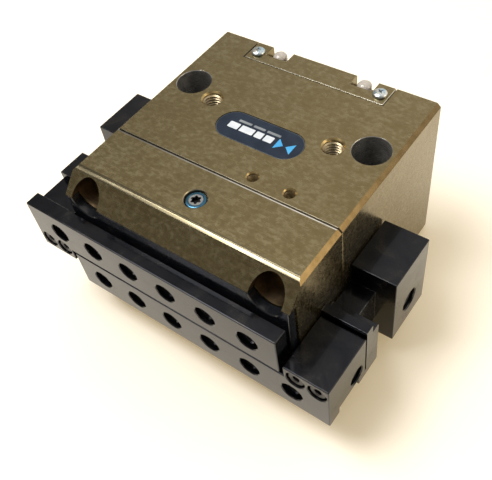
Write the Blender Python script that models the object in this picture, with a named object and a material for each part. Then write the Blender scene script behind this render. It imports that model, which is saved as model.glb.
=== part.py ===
"""Two-jaw pneumatic parallel gripper with round-rod guidance and a wedge-hook drive.

Frame: origin at the centre of the rear mounting face. +X is the right side and the
stroke of the right-hand jaw, -Y points to the finger side (front), +Z is the label
side (top). The jaws are modelled closed, which is the rest position. Lengths are in
millimetres and become metres in new_object. Names ending in _Y, _X and _Z are places,
_R are radii.
"""

import math
from collections import namedtuple

import bmesh
import bpy
from mathutils import Matrix, Vector

MILLIMETRE = 0.001

# ---------------------------------------------------------------- shared dimensions
# housing envelope
HALF_W = 64.0 / 2
HALF_T = 44.6 / 2
SIDE_CHAMFER = 1.0
PARTING_CHAMFER = 0.5  # the two chamfers that make the parting groove
REAR_BLOCK_Y = -44.5  # front end of the rear block, which starts at y = 0
FRONT_BLOCK_Y = REAR_BLOCK_Y - 0.2  # rear end of the front block
FACE_Y = -62.0  # front block's machined face, behind the black cover
LIP_Y = -64.5  # the lips above and below the cover reach this far

OVER = 1.0  # how far a cutter runs past the surface it opens
CLEAR_Y = -70.0  # in front of the whole housing
RUN_GAP = 0.05  # radial running clearance of a rod in its bush
FIT_GAP = 0.1  # radial gap of a fixed joint

# cylinder: a stadium bore along Y
BORE_R = 13.0
BORE_HALF = 6.0  # half the distance between the stadium's two centres
BORE_END_Y = -26.0
ROD_R = 3.0  # piston rod
SPRING_X = 8.5
SPRING_POCKET_R = 3.3
STROKE_PISTON = 10.0
STROKE_JAW = 10.0

# cavity for the drive
CAVITY_X = 17.0
CAVITY_Z = 12.1
CAVITY_REAR_Y = -29.6

# fastening places shared by several pieces
SCREW_X, SCREW_Z = 25.85, 17.3  # four screws that join the two blocks
DOWEL_X, DOWEL_R = 28.4, 1.5
FACE_SCREW_X = 24.5  # two screws of the black cover
COVER_SCREWS = ((18.7, 9.5), (-18.7, 9.5), (18.7, -9.5), (-18.7, -9.5))  # x, z
BRACKET_SCREW_X, BRACKET_SCREW_Y = 17.95, -3.94
LUBE_Y = -53.0  # lubrication plug in the front block's top

# sensor bracket's seat at the rear top edge
BRACKET_X, BRACKET_Y, BRACKET_Z = 20.6, -7.25, 19.3

# A socket screw: head radius and height, shank radius and length, width across the socket.
Screw = namedtuple("Screw", "head_r head_h shank_r length socket")
HOUSING_SCREW = Screw(3.5, 4.0, 2.0, 12.5, 3.0)
COVER_SCREW = Screw(2.25, 1.4, 1.2, 9.5, 1.8)
PISTON_SCREW = Screw(3.3, 2.0, 1.25, 6.0, 2.5)
BAR_SCREW = Screw(2.2, 2.2, 1.1, 15.5, 1.8)

# Guide rods, one rear and one front for each jaw. z is the height of the left jaw's rod
# above the middle plane; the right jaw's rod lies as far below it.
GuideRod = namedtuple("GuideRod", "place y z radius bush_r tap_r clear_r counterbore_r screw")
REAR_ROD = GuideRod(
    "rear", -33.8, 7.4, 3.0, 4.0, 1.35, 1.65, 3.0, Screw(2.75, 2.2, 1.25, 7.0, 2.2)
)
FRONT_ROD = GuideRod(
    "front", -58.0, 6.8, 2.0, 2.9, 1.15, 1.35, 2.45, Screw(2.2, 2.2, 1.05, 7.0, 1.8)
)
RODS = (REAR_ROD, FRONT_ROD)

SEGS = 12  # sides of a round piece; a shaft and its bush share them, so their gap is even
STADIUM_STEPS = 8  # sides of each end of the cylinder bore and of everything that runs in it

RIGHT_LEFT = (1, -1)
LEFT_RIGHT = (-1, 1)
UP_DOWN = (1, -1)
CENTRE = (0, 0, 0)

# ---------------------------------------------------------------- materials
SHARP_ANGLE = math.radians(30)

# finish: (base colour, roughness, metallic)
FINISH = {
    "anodised": ((0.24, 0.205, 0.115), 0.42, 0.85),
    "black_cover": ((0.02, 0.022, 0.026), 0.3, 0.2),
    "burnished": ((0.028, 0.03, 0.038), 0.22, 0.9),
    "ground": ((0.55, 0.55, 0.56), 0.2, 1.0),
    "zinc": ((0.52, 0.58, 0.66), 0.25, 1.0),
    "black_oxide": ((0.03, 0.03, 0.035), 0.35, 0.8),
    "bronze": ((0.45, 0.27, 0.1), 0.4, 0.9),
    "seal": ((0.015, 0.015, 0.015), 0.75, 0.0),
    "label": ((0.03, 0.05, 0.09), 0.25, 0.0),
    "plug": ((0.6, 0.58, 0.55), 0.3, 0.0),
    "spring": ((0.35, 0.35, 0.37), 0.3, 1.0),
    "piston_alloy": ((0.6, 0.58, 0.54), 0.35, 1.0),
    "magnet": ((0.3, 0.3, 0.31), 0.4, 1.0),
}


def material(name, finish):
    colour, roughness, metallic = FINISH[finish]
    mat = bpy.data.materials.new(name)
    mat.use_nodes = True
    inputs = mat.node_tree.nodes["Principled BSDF"].inputs
    inputs["Base Color"].default_value = (*colour, 1.0)
    inputs["Roughness"].default_value = roughness
    inputs["Metallic"].default_value = metallic
    return mat


def finished(obj, finish):
    """Gives a piece its own material and smooth shading with sharp edges."""
    obj.data.materials.append(material(f"{obj.name}_{finish}", finish))
    obj.data.shade_smooth()
    obj.data.set_sharp_from_angle(angle=SHARP_ANGLE)
    return obj


# ---------------------------------------------------------------- solids
def new_object(name, shape, origin=CENTRE):
    """An object with its origin at `origin`, from a bmesh in the gripper's frame (both mm)."""
    start = Vector(origin)
    for vert in shape.verts:
        vert.co = (vert.co - start) * MILLIMETRE
    bmesh.ops.recalc_face_normals(shape, faces=shape.faces)
    mesh = bpy.data.meshes.new(name)
    shape.to_mesh(mesh)
    shape.free()
    obj = bpy.data.objects.new(name, mesh)
    obj.location = start * MILLIMETRE
    bpy.context.scene.collection.objects.link(obj)
    return obj


def chamfer_edges(shape, edges, offset):
    bmesh.ops.bevel(
        shape, geom=edges, offset=offset, segments=1, affect="EDGES", profile=0.5
    )


def prism(name, outline, axis, low, high, ends=0.0):
    """A closed outline (the two coordinates across the axis, in X, Y, Z order) extruded
    from low to high. `ends` chamfers the rims of both end faces."""
    shape = bmesh.new()
    index = "XYZ".index(axis)

    def at(point, along):
        place = list(point)
        place.insert(index, along)
        return Vector(place)

    face = shape.faces.new([shape.verts.new(at(point, low)) for point in outline])
    made = bmesh.ops.extrude_face_region(shape, geom=[face])
    moved = [item for item in made["geom"] if isinstance(item, bmesh.types.BMVert)]
    bmesh.ops.translate(shape, verts=moved, vec=at((0, 0), high - low))
    if ends:
        rims = [
            edge
            for edge in shape.edges
            if abs(edge.verts[0].co[index] - edge.verts[1].co[index]) < 1e-6
        ]
        chamfer_edges(shape, rims, ends)
    return new_object(name, shape)


def block(name, x, y, z, bevel=0.0):
    """A box between the (low, high) pairs x, y and z."""
    shape = bmesh.new()
    bmesh.ops.create_cube(shape, size=1.0)
    for vert in shape.verts:
        for i, (low, high) in enumerate((x, y, z)):
            vert.co[i] = low if vert.co[i] < 0 else high
    if bevel:
        chamfer_edges(shape, list(shape.edges), bevel)
    return new_object(name, shape)


def turned(name, profile, axis, centre, segs=SEGS):
    """A profile of (radius, place along the axis) points, turned about the axis through
    `centre`, which is also the origin. A closed profile that stays off the axis makes a
    ring; one that starts and ends at radius 0 makes a solid."""
    shape = bmesh.new()
    index = "XYZ".index(axis)
    first, second = [i for i in range(3) if i != index]
    rings = []
    for radius, along in profile:
        ring = []
        for k in range(segs if radius else 1):
            angle = 2 * math.pi * (k + 0.5) / segs
            place = list(centre)
            place[index] = along
            if radius:
                place[first] += radius * math.cos(angle)
                place[second] += radius * math.sin(angle)
            ring.append(shape.verts.new(place))
        rings.append(ring)
    pairs = list(zip(rings, rings[1:]))
    if len(rings[0]) > 1:
        pairs.append((rings[-1], rings[0]))
    for near, far in pairs:
        for k in range(segs):
            n = (k + 1) % segs
            if len(near) == 1:
                shape.faces.new((near[0], far[k], far[n]))
            elif len(far) == 1:
                shape.faces.new((near[k], far[0], near[n]))
            else:
                shape.faces.new((near[k], far[k], far[n], near[n]))
    return new_object(name, shape, centre)


# ---------------------------------------------------------------- profiles and outlines
def stepped(start, *steps):
    """Profile of coaxial cylinders end to end; each step is (radius, place where it ends)."""
    points = [(0, start)]
    for radius, end in steps:
        points += [(radius, points[-1][1]), (radius, end)]
    return points + [(0, points[-1][1])]


def pin_profile(radius, low, high, chamfer):
    return [
        (0, low),
        (radius - chamfer, low),
        (radius, low + chamfer),
        (radius, high - chamfer),
        (radius - chamfer, high),
        (0, high),
    ]


def ring_profile(inner, outer, low, high):
    return [(inner, low), (outer, low), (outer, high), (inner, high)]


def top_mouth(radius, chamfer):
    """End of a hole's profile where it opens through the top with a 45 degree chamfer."""
    return [
        (radius, HALF_T - chamfer),
        (radius + chamfer + OVER, HALF_T + OVER),
        (0, HALF_T + OVER),
    ]


def stadium(half, radius, per_end, turn=0.0, centre=(0.0, 0.0)):
    """A slot outline: half circles of `radius` centred `half` either side of `centre`."""
    cosine, sine = math.cos(turn), math.sin(turn)
    points = []
    for side in RIGHT_LEFT:
        for k in range(per_end + 1):
            angle = -math.pi / 2 + math.pi * k / per_end
            x = side * (half + radius * math.cos(angle))
            y = side * radius * math.sin(angle)
            points.append(
                (centre[0] + cosine * x - sine * y, centre[1] + sine * x + cosine * y)
            )
    return points


def bore_stadium(radius):
    """An outline concentric with the cylinder bore."""
    return stadium(BORE_HALF, radius, STADIUM_STEPS)


def rounded(half_x, half_y, radius, per_corner=3):
    """A rounded rectangle outline about the origin."""
    in_x, in_y = half_x - radius, half_y - radius
    corners = ((in_x, in_y, 0), (-in_x, in_y, 90), (-in_x, -in_y, 180), (in_x, -in_y, 270))
    points = []
    for x, y, start in corners:
        for k in range(per_corner + 1):
            angle = math.radians(start + 90 * k / per_corner)
            points.append((x + radius * math.cos(angle), y + radius * math.sin(angle)))
    return points


def hexagon(across, centre):
    radius = across / math.sqrt(3)
    return [
        (
            centre[0] + radius * math.cos(math.pi * k / 3),
            centre[1] + radius * math.sin(math.pi * k / 3),
        )
        for k in range(6)
    ]


def lobes(radius, depth, centre, steps=24):
    """A six-lobed outline that waves `depth` either side of `radius`."""
    points = []
    for k in range(steps):
        angle = 2 * math.pi * k / steps
        reach = radius + depth * math.cos(6 * angle)
        points.append(
            (centre[0] + reach * math.cos(angle), centre[1] + reach * math.sin(angle))
        )
    return points


# ---------------------------------------------------------------- boolean tools
tool_count = 0


def label(kind):
    """The next numbered tool name; the numbers run through the whole script."""
    global tool_count
    tool_count += 1
    return f"{kind}_{tool_count:03d}"


def combine(target, tools, operation):
    for tool in tools:
        tool.hide_render = True
        tool.display_type = "WIRE"
        tool.name = "tool_" + tool.name
        # a tool stays with the piece it shapes wherever the piece is placed
        tool.parent = target
        tool.matrix_parent_inverse = Matrix.Translation(-target.location)
        step = target.modifiers.new(operation.lower(), "BOOLEAN")
        step.operation = operation
        step.solver = "EXACT"
        step.object = tool
    return target


def cut(target, *tools):
    return combine(target, tools, "DIFFERENCE")


def join(target, *tools):
    return combine(target, tools, "UNION")


def hole(axis, centre, radius, low, high, segs=SEGS):
    return turned(label("hole"), stepped(low, (radius, high)), axis, centre, segs)


def pocket(x, y, z):
    return block(label("pocket"), x, y, z)


def socket(axis, centre, across, low, high):
    middle = [value for value, name in zip(centre, "XYZ") if name != axis]
    return prism(label("socket"), hexagon(across, middle), axis, low, high)


SOCKET_DEPTH = 0.55  # share of the head's height


def cap_screw(name, axis, centre, size, seat, way, finish, segs=10):
    """A socket screw. `seat` is where the head bears, `way` (+1 or -1) points from the
    seat to the head's end."""
    head = seat + way * size.head_h
    tip = seat - way * size.length
    profile = stepped(tip, (size.shank_r, seat), (size.head_r, head))
    screw = turned(name, profile, axis, centre, segs)
    deep = sorted((head - way * size.head_h * SOCKET_DEPTH, head + way * OVER))
    cut(screw, socket(axis, centre, size.socket, *deep))
    return finished(screw, finish)


# ---------------------------------------------------------------- guide bushes and bores
BUSH_BORE_X = 16.5  # a bush bore starts here, inside the cavity
BUSH_IN, BUSH_OUT = 17.6, 31.4  # where a rod passes out of the housing
BLIND_IN, BLIND_OUT = 17.1, 30.0  # where it ends inside the side wall
BLIND_END = 30.3


def is_blind(side, level):
    """The upper rods end in the right wall, the lower rods in the left one."""
    return side == level


def bush_bore(rod, side, level):
    end = BLIND_END if is_blind(side, level) else HALF_W + OVER
    span = sorted((side * BUSH_BORE_X, side * end))
    return hole("X", (0, rod.y, level * rod.z), rod.bush_r + FIT_GAP, *span)


def guide_bushes():
    for rod in RODS:
        for level_name, level in (("upper", 1), ("lower", -1)):
            for side_name, side in (("left", -1), ("right", 1)):
                blind = is_blind(side, level)
                near, far = (BLIND_IN, BLIND_OUT) if blind else (BUSH_IN, BUSH_OUT)
                low, high = sorted((side * near, side * far))
                bush = turned(
                    f"guide_bush_{rod.place}_{level_name}_{side_name}",
                    ring_profile(rod.radius + RUN_GAP, rod.bush_r, low, high),
                    "X",
                    (0, rod.y, level * rod.z),
                )
                finished(bush, "bronze")


# piston rod's bearing and seal, in a counterbore at the front of the cylinder bore
GLAND_R = 5.0
GLAND_Y = -28.6
ROD_HOLE_R = 3.15


def rod_bearing():
    for name, low, high, finish in (
        ("rod_bush", -28.5, -27.6, "bronze"),
        ("rod_seal", -27.5, -26.1, "seal"),
    ):
        profile = ring_profile(ROD_R + RUN_GAP, GLAND_R, low, high)
        finished(turned(name, profile, "Y", CENTRE), finish)


# ---------------------------------------------------------------- rear block
EDGE_X, EDGE_Z = HALF_W - SIDE_CHAMFER, HALF_T - SIDE_CHAMFER
# x, z: the housing's section across Y, with its four long edges chamfered
OUTLINE = [
    (EDGE_X, -HALF_T),
    (HALF_W, -EDGE_Z),
    (HALF_W, EDGE_Z),
    (EDGE_X, HALF_T),
    (-EDGE_X, HALF_T),
    (-HALF_W, EDGE_Z),
    (-HALF_W, -EDGE_Z),
    (-EDGE_X, -HALF_T),
]

COVER_SEAT_Y = -5.0
MOUNT_X, MOUNT_Y = 25.7, -21.5
MOUNT_SMALL_R, MOUNT_R = 2.75, 4.5
MOUNT_STEP_Z = -13.5
PORT_X, PORT_Y, PORT_R = 17.5, -24.5, 2.4
PORT_FLOOR_Z = 15.0
PASSAGE_R, PASSAGE_Z = 0.9, 12.2
PASSAGE_END_Y = -4.0
LEFT_PASSAGE_Z = 4.0
SLOT_X, SLOT_Y, SLOT_Z = (11.0, 18.0), (-6.0, -4.0), (11.5, 12.9)
TAPS = ((7.1, -41.4), (17.0, -41.4))  # x, y of the tapped holes in the top
TAP_R, TAP_FLOOR_Z = 1.3, 16.3
REAR_TAPS = ((27.2, 17.4), (-27.2, 17.4), (27.2, -17.4), (-27.2, -17.4))  # x, z
REAR_TAP_R, REAR_TAP_Y = 2.1, -9.0
COVER_TAP_R, COVER_TAP_Y = 1.35, (-13.0, -4.0)
BRACKET_TAP_R, BRACKET_TAP_Z = 1.15, (15.9, 20.0)
DOWEL_HOLE_Y = -39.5
SCREW_TAP_R, SCREW_TAP_Y = 2.15, -35.5
MOUTH_CHAMFER = 0.3  # ports and tapped holes in the top
MOUNT_CHAMFER = 0.25

# radius, z
MOUNT_PROFILE = [
    (0, -HALF_T - OVER),
    (MOUNT_SMALL_R, -HALF_T - OVER),
    (MOUNT_SMALL_R, MOUNT_STEP_Z),
    (MOUNT_R, MOUNT_STEP_Z),
] + top_mouth(MOUNT_R, MOUNT_CHAMFER)
PORT_PROFILE = [(0, PORT_FLOOR_Z), (PORT_R, PORT_FLOOR_Z)] + top_mouth(PORT_R, MOUTH_CHAMFER)
TAP_PROFILE = [(0, TAP_FLOOR_Z), (TAP_R, TAP_FLOOR_Z)] + top_mouth(TAP_R, MOUTH_CHAMFER)


def middle_cutters():
    """Bore, cover seat, drive cavity, rod holes, bracket seat and air passages."""
    port_low = PORT_FLOOR_Z + OVER
    cavity_y = (REAR_BLOCK_Y - OVER, CAVITY_REAR_Y)
    return [
        prism(label("bore"), bore_stadium(BORE_R), "Y", BORE_END_Y, OVER),
        prism(label("cover_seat"), cover_outline(0.0), "Y", COVER_SEAT_Y, OVER),
        pocket((-CAVITY_X, CAVITY_X), cavity_y, (-CAVITY_Z, CAVITY_Z)),
        hole("Y", CENTRE, ROD_HOLE_R, CAVITY_REAR_Y - OVER, BORE_END_Y + OVER),
        hole("Y", CENTRE, GLAND_R + FIT_GAP, GLAND_Y, BORE_END_Y + OVER),
        pocket((-BRACKET_X, BRACKET_X), (BRACKET_Y, OVER), (BRACKET_Z, HALF_T + OVER)),
        # rear passage from the right-hand port to the space under the cover
        hole("Y", (PORT_X, 0, PASSAGE_Z), PASSAGE_R, PORT_Y, PASSAGE_END_Y, 10),
        pocket(SLOT_X, SLOT_Y, SLOT_Z),
        hole("Z", (PORT_X, PORT_Y, 0), PASSAGE_R, PASSAGE_Z, port_low, 10),
        # the left-hand port opens straight into the bore's front end
        hole("Z", (-PORT_X, PORT_Y, 0), PASSAGE_R, LEFT_PASSAGE_Z, port_low, 10),
    ]


def side_cutters(side):
    """Mounting hole, port, bush bores and fastening holes on one side."""
    front = REAR_BLOCK_Y - OVER
    bracket_screw = (side * BRACKET_SCREW_X, BRACKET_SCREW_Y, 0)
    cutters = [
        turned(label("mount_hole"), MOUNT_PROFILE, "Z", (side * MOUNT_X, MOUNT_Y, 0), 20),
        turned(label("port"), PORT_PROFILE, "Z", (side * PORT_X, PORT_Y, 0)),
        bush_bore(REAR_ROD, side, -side),
        bush_bore(REAR_ROD, side, side),
        hole("Z", bracket_screw, BRACKET_TAP_R, *BRACKET_TAP_Z),
        hole("Y", (side * DOWEL_X, 0, 0), DOWEL_R + FIT_GAP, front, DOWEL_HOLE_Y),
    ]
    for level in UP_DOWN:
        centre = (side * SCREW_X, 0, level * SCREW_Z)
        cutters.append(hole("Y", centre, SCREW_TAP_R, front, SCREW_TAP_Y, 10))
    return cutters


def make_cylinder_housing():
    housing = prism("cylinder_housing", OUTLINE, "Y", REAR_BLOCK_Y, 0.0, PARTING_CHAMFER)
    cutters = middle_cutters()
    for side in RIGHT_LEFT:
        cutters += side_cutters(side)
    for x, y in TAPS:
        cutters.append(turned(label("tap"), TAP_PROFILE, "Z", (x, y, 0)))
    for x, z in REAR_TAPS:
        cutters.append(hole("Y", (x, 0, z), REAR_TAP_R, REAR_TAP_Y, OVER, 10))
    for x, z in COVER_SCREWS:
        cutters.append(hole("Y", (x, 0, z), COVER_TAP_R, *COVER_TAP_Y, 10))
    return finished(cut(housing, *cutters), "anodised")


# ---------------------------------------------------------------- front block
FRONT_CHAMFER = 5.4
LIP_Z = HALF_T - FRONT_CHAMFER
# y, z: upper half of the front block's section, from its rear end forward
UPPER_SECTION = [
    (FRONT_BLOCK_Y, HALF_T - PARTING_CHAMFER),
    (FRONT_BLOCK_Y - PARTING_CHAMFER, HALF_T),
    (LIP_Y + FRONT_CHAMFER, HALF_T),
    (LIP_Y, LIP_Z),
    (FACE_Y, LIP_Z),
]
EDGE_TRIM_END_Y = -40.0
SCREW_POCKET_R, SCREW_CLEAR_R = 4.2, 2.3
SCREW_POCKET_Y = -49.0
FACE_TAP_R, FACE_TAP_Y = 1.3, -55.0
FRONT_DOWEL_Y = -50.0
# radius, z: bore with a cone-shaped floor, and a wider seat at the top
PLUG_SEAT_PROFILE = [
    (0, 12.0),
    (1.6, 11.5),
    (1.6, 20.6),
    (2.75, 20.6),
    (2.75, HALF_T + OVER),
    (0, HALF_T + OVER),
]


def guide_housing():
    section = UPPER_SECTION + [(y, -z) for y, z in reversed(UPPER_SECTION)]
    housing = prism("guide_housing", section, "X", -HALF_W, HALF_W)
    edge_trim = prism(label("edge_trim"), OUTLINE, "Y", CLEAR_Y, EDGE_TRIM_END_Y)
    combine(housing, [edge_trim], "INTERSECT")
    rear = FRONT_BLOCK_Y + OVER
    pocket_profile = stepped(
        CLEAR_Y, (SCREW_POCKET_R, SCREW_POCKET_Y), (SCREW_CLEAR_R, rear)
    )
    cutters = [
        pocket((-CAVITY_X, CAVITY_X), (FACE_Y - OVER, rear), (-CAVITY_Z, CAVITY_Z)),
        turned(label("plug_seat"), PLUG_SEAT_PROFILE, "Z", (0, LUBE_Y, 0), 16),
    ]
    for side in RIGHT_LEFT:
        for level in UP_DOWN:
            centre = (side * SCREW_X, 0, level * SCREW_Z)
            cutters += [
                turned(label("screw_pocket"), pocket_profile, "Y", centre, 16),
                bush_bore(FRONT_ROD, side, level),
            ]
        cutters += [
            hole("Y", (side * FACE_SCREW_X, 0, 0), FACE_TAP_R, FACE_Y - OVER, FACE_TAP_Y),
            hole("Y", (side * DOWEL_X, 0, 0), DOWEL_R + FIT_GAP, FRONT_DOWEL_Y, rear),
        ]
    finished(cut(housing, *cutters), "anodised")


# ---------------------------------------------------------------- front cover
FRONT_COVER_X, FRONT_COVER_Z = 31.7, 16.6
FRONT_COVER_REAR_Y = FACE_Y - 0.2
FRONT_COVER_BEVEL = 0.3
SCREW_OPENING_R = 4.5
BEHIND_COVER_Y = -60.0
# radius, y
SINK_PROFILE = [
    (0, LIP_Y - 0.5),
    (3.1, LIP_Y - 0.5),
    (1.45, LIP_Y + 1.3),
    (1.45, BEHIND_COVER_Y),
    (0, BEHIND_COVER_Y),
]
# radius, y
SUNK_SCREW_PROFILE = [
    (0, -56.0),
    (1.15, -56.0),
    (1.15, LIP_Y + 1.45),
    (2.45, LIP_Y + 0.15),
    (0, LIP_Y + 0.15),
]
SUNK_SOCKET, SUNK_SOCKET_Y = 1.5, (-65.0, -63.2)  # width across, y range


def front_cover():
    cover = block(
        "front_cover",
        (-FRONT_COVER_X, FRONT_COVER_X),
        (LIP_Y, FRONT_COVER_REAR_Y),
        (-FRONT_COVER_Z, FRONT_COVER_Z),
        FRONT_COVER_BEVEL,
    )
    cutters = []
    for side in RIGHT_LEFT:
        for level in UP_DOWN:
            centre = (side * SCREW_X, 0, level * SCREW_Z)
            cutters.append(hole("Y", centre, SCREW_OPENING_R, CLEAR_Y, BEHIND_COVER_Y, 16))
        cutters.append(turned(label("sink"), SINK_PROFILE, "Y", (side * FACE_SCREW_X, 0, 0)))
    finished(cut(cover, *cutters), "black_cover")


def front_cover_screws():
    for i, side in enumerate(LEFT_RIGHT):
        centre = (side * FACE_SCREW_X, 0, 0)
        screw = turned(f"front_cover_screw_{i + 1}", SUNK_SCREW_PROFILE, "Y", centre)
        cut(screw, socket("Y", centre, SUNK_SOCKET, *SUNK_SOCKET_Y))
        finished(screw, "black_oxide")


# ---------------------------------------------------------------- housing joint
HOUSING_SCREW_SEAT_Y = -49.2
DOWEL_Y = (-49.7, -39.9)
DOWEL_CHAMFER = 0.3


def housing_screws():
    places = [(side, level) for level in UP_DOWN for side in LEFT_RIGHT]
    for i, (side, level) in enumerate(places):
        centre = (side * SCREW_X, 0, level * SCREW_Z)
        cap_screw(
            f"housing_screw_{i + 1}",
            "Y",
            centre,
            HOUSING_SCREW,
            HOUSING_SCREW_SEAT_Y,
            -1,
            "zinc",
            segs=12,
        )


def dowel_pins():
    profile = pin_profile(DOWEL_R, *DOWEL_Y, DOWEL_CHAMFER)
    for i, side in enumerate(RIGHT_LEFT):
        finished(turned(f"dowel_pin_{i + 1}", profile, "Y", (side * DOWEL_X, 0, 0)), "ground")


# ---------------------------------------------------------------- cylinder cover
COVER_X, COVER_Z, COVER_CORNER = 22.5, 15.0, 4.0  # the seat's half sizes and corner radius
COVER_Y = -4.8
COVER_GAP = 0.2
SEAL_GROOVE_Y, SEAL_Y = (-3.7, -2.1), (-3.5, -2.3)
COVER_SCREW_SEAT_Y = -1.6
SPRING_SEAT_Y = -3.2  # floor of the cover's spring pockets
COVER_BACK_Y = -6.0  # in front of the cover's inner face
# radius, y: screw clearance and counterbore
COVER_HOLE_PROFILE = stepped(COVER_BACK_Y, (1.45, -1.7), (2.4, OVER))


def cover_outline(inset):
    """The cover seat's outline, moved inward by `inset`."""
    return rounded(COVER_X - inset, COVER_Z - inset, COVER_CORNER - inset)


def cylinder_cover():
    cover = prism("cylinder_cover", cover_outline(COVER_GAP), "Y", COVER_Y, 0.0)
    groove = prism(label("seal_groove"), cover_outline(-2.0), "Y", *SEAL_GROOVE_Y)
    cut(groove, prism(label("seal_core"), cover_outline(1.4), "Y", -5.0, 0.5))
    cutters = [groove]
    for x, z in COVER_SCREWS:
        cutters.append(turned(label("cover_counterbore"), COVER_HOLE_PROFILE, "Y", (x, 0, z)))
    for side in RIGHT_LEFT:
        centre = (side * SPRING_X, 0, 0)
        cutters.append(hole("Y", centre, SPRING_POCKET_R, COVER_BACK_Y, SPRING_SEAT_Y))
    finished(cut(cover, *cutters), "anodised")


def cover_seal():
    seal = prism("cover_seal", cover_outline(0.1), "Y", *SEAL_Y)
    cut(seal, prism(label("seal_inside"), cover_outline(1.2), "Y", -5.0, 0.0))
    finished(seal, "seal")


def cover_screws():
    """Low-head socket screws, sunk below the mounting face."""
    for i, (x, z) in enumerate(COVER_SCREWS):
        name = f"cover_screw_{i + 1}"
        cap_screw(name, "Y", (x, 0, z), COVER_SCREW, COVER_SCREW_SEAT_Y, 1, "zinc")


# ---------------------------------------------------------------- sensor bracket
NOTCHES = ((-15.6, -9.2), (9.5, 15.75))  # x ranges
NOTCH_Y = -3.9
BRACKET_GAP = 0.25
BRACKET_REAR_Y = -0.15
BRACKET_LOW_Z = BRACKET_Z + 0.15
BRACKET_BEVEL = 0.15
BRACKET_HOLE_R, BRACKET_HOLE_Z = 1.35, (18.0, 24.0)
# radius, z: pan head screw
PAN_SCREW_PROFILE = [
    (0, 16.4),
    (0.95, 16.4),
    (0.95, HALF_T + 0.08),
    (1.8, HALF_T + 0.08),
    (1.8, HALF_T + 0.45),
    (1.45, HALF_T + 0.85),
    (0.8, HALF_T + 1.05),
    (0, HALF_T + 1.1),
]
CROSS_HALF_LENGTH, CROSS_HALF_WIDTH = 0.8, 0.16
CROSS_Z = (22.6, 24.0)
PLUG_XS, PLUG_Y = (-12.4, 12.62), -2.0
# radius, z: round plug with a domed top
PLUG_PROFILE = [
    (0, BRACKET_LOW_Z),
    (1.85, BRACKET_LOW_Z),
    (1.85, 21.5),
    (1.7, 21.95),
    (1.3, 22.35),
    (0.7, 22.6),
    (0, 22.68),
]


def sensor_bracket():
    half_x = BRACKET_X - BRACKET_GAP
    bracket = block(
        "sensor_bracket",
        (-half_x, half_x),
        (BRACKET_Y + BRACKET_GAP, BRACKET_REAR_Y),
        (BRACKET_LOW_Z, HALF_T),
        BRACKET_BEVEL,
    )
    notch_z = (BRACKET_Z - OVER, HALF_T + OVER)
    cutters = [pocket(notch_x, (NOTCH_Y, OVER), notch_z) for notch_x in NOTCHES]
    for side in RIGHT_LEFT:
        centre = (side * BRACKET_SCREW_X, BRACKET_SCREW_Y, 0)
        cutters.append(hole("Z", centre, BRACKET_HOLE_R, *BRACKET_HOLE_Z))
    finished(cut(bracket, *cutters), "anodised")


def bracket_screws():
    """Pan head screws with a cross recess."""
    arms = (
        (CROSS_HALF_LENGTH, CROSS_HALF_WIDTH),
        (CROSS_HALF_WIDTH, CROSS_HALF_LENGTH),
    )
    for i, side in enumerate(LEFT_RIGHT):
        x, y = side * BRACKET_SCREW_X, BRACKET_SCREW_Y
        screw = turned(f"bracket_screw_{i + 1}", PAN_SCREW_PROFILE, "Z", (x, y, 0))
        for half_x, half_y in arms:
            cut(screw, pocket((x - half_x, x + half_x), (y - half_y, y + half_y), CROSS_Z))
        finished(screw, "zinc")


def sensor_plugs():
    for i, x in enumerate(PLUG_XS):
        plug = turned(f"sensor_plug_{i + 1}", PLUG_PROFILE, "Z", (x, PLUG_Y, 0), 14)
        finished(plug, "plug")


# ---------------------------------------------------------------- label and lubrication plug
LABEL_CENTRE = (0.45, -29.5)  # x, y
LABEL_HALF_LENGTH, LABEL_R = 12.0, 4.6  # the recess
LABEL_GAP = 0.15
LABEL_RECESS_Z = HALF_T - 0.4
LABEL_Z = (HALF_T - 0.35, HALF_T - 0.05)
# radius, z
LUBE_PLUG_PROFILE = [
    (0, 13.5),
    (1.45, 13.5),
    (1.45, 20.7),
    (2.55, 20.7),
    (2.55, 21.6),
    (2.3, 21.85),
    (0, 21.85),
]
LOBE_R, LOBE_DEPTH, LOBE_Z = 1.15, 0.16, (20.9, 23.0)


def label_outline(gap):
    half = LABEL_HALF_LENGTH - LABEL_R
    return stadium(half, LABEL_R - gap, 8, centre=LABEL_CENTRE)


def label_plate(housing):
    outline = label_outline(0.0)
    cut(housing, prism(label("label_recess"), outline, "Z", LABEL_RECESS_Z, HALF_T + OVER))
    finished(prism("label_plate", label_outline(LABEL_GAP), "Z", *LABEL_Z), "label")


def lube_plug():
    plug = turned("lube_plug", LUBE_PLUG_PROFILE, "Z", (0, LUBE_Y, 0), 16)
    cut(plug, prism(label("lobe"), lobes(LOBE_R, LOBE_DEPTH, (0, LUBE_Y)), "Z", *LOBE_Z))
    finished(plug, "zinc")


# ---------------------------------------------------------------- piston group
# It slides along +Y to open the jaws.
PISTON_R, PISTON_SEAL_R = 12.85, 12.93
FLANGE_Y = (-22.5, -17.5)
BOSS_R, BOSS_Y = 9.5, (-25.5, FLANGE_Y[0] + 0.5)
GROOVE_CORE_R, SEAL_HOLE_R = 11.4, 11.5
PISTON_REAR_Y = -16.0  # behind the piston, where its cutters end
PISTON_HOLE_R = 2.15
HEAD_POCKET_R, HEAD_POCKET_Y = 3.6, -19.9
SPRING_FLOOR_Y = -20.0
MAGNET_CENTRE = (0, 0, 8.6)
MAGNET_R, MAGNET_Y, MAGNET_CHAMFER = 2.0, (-20.5, -17.6), 0.2
MAGNET_FLOOR_Y = -20.6
PISTON_SCREW_SEAT_Y = -19.8
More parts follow.
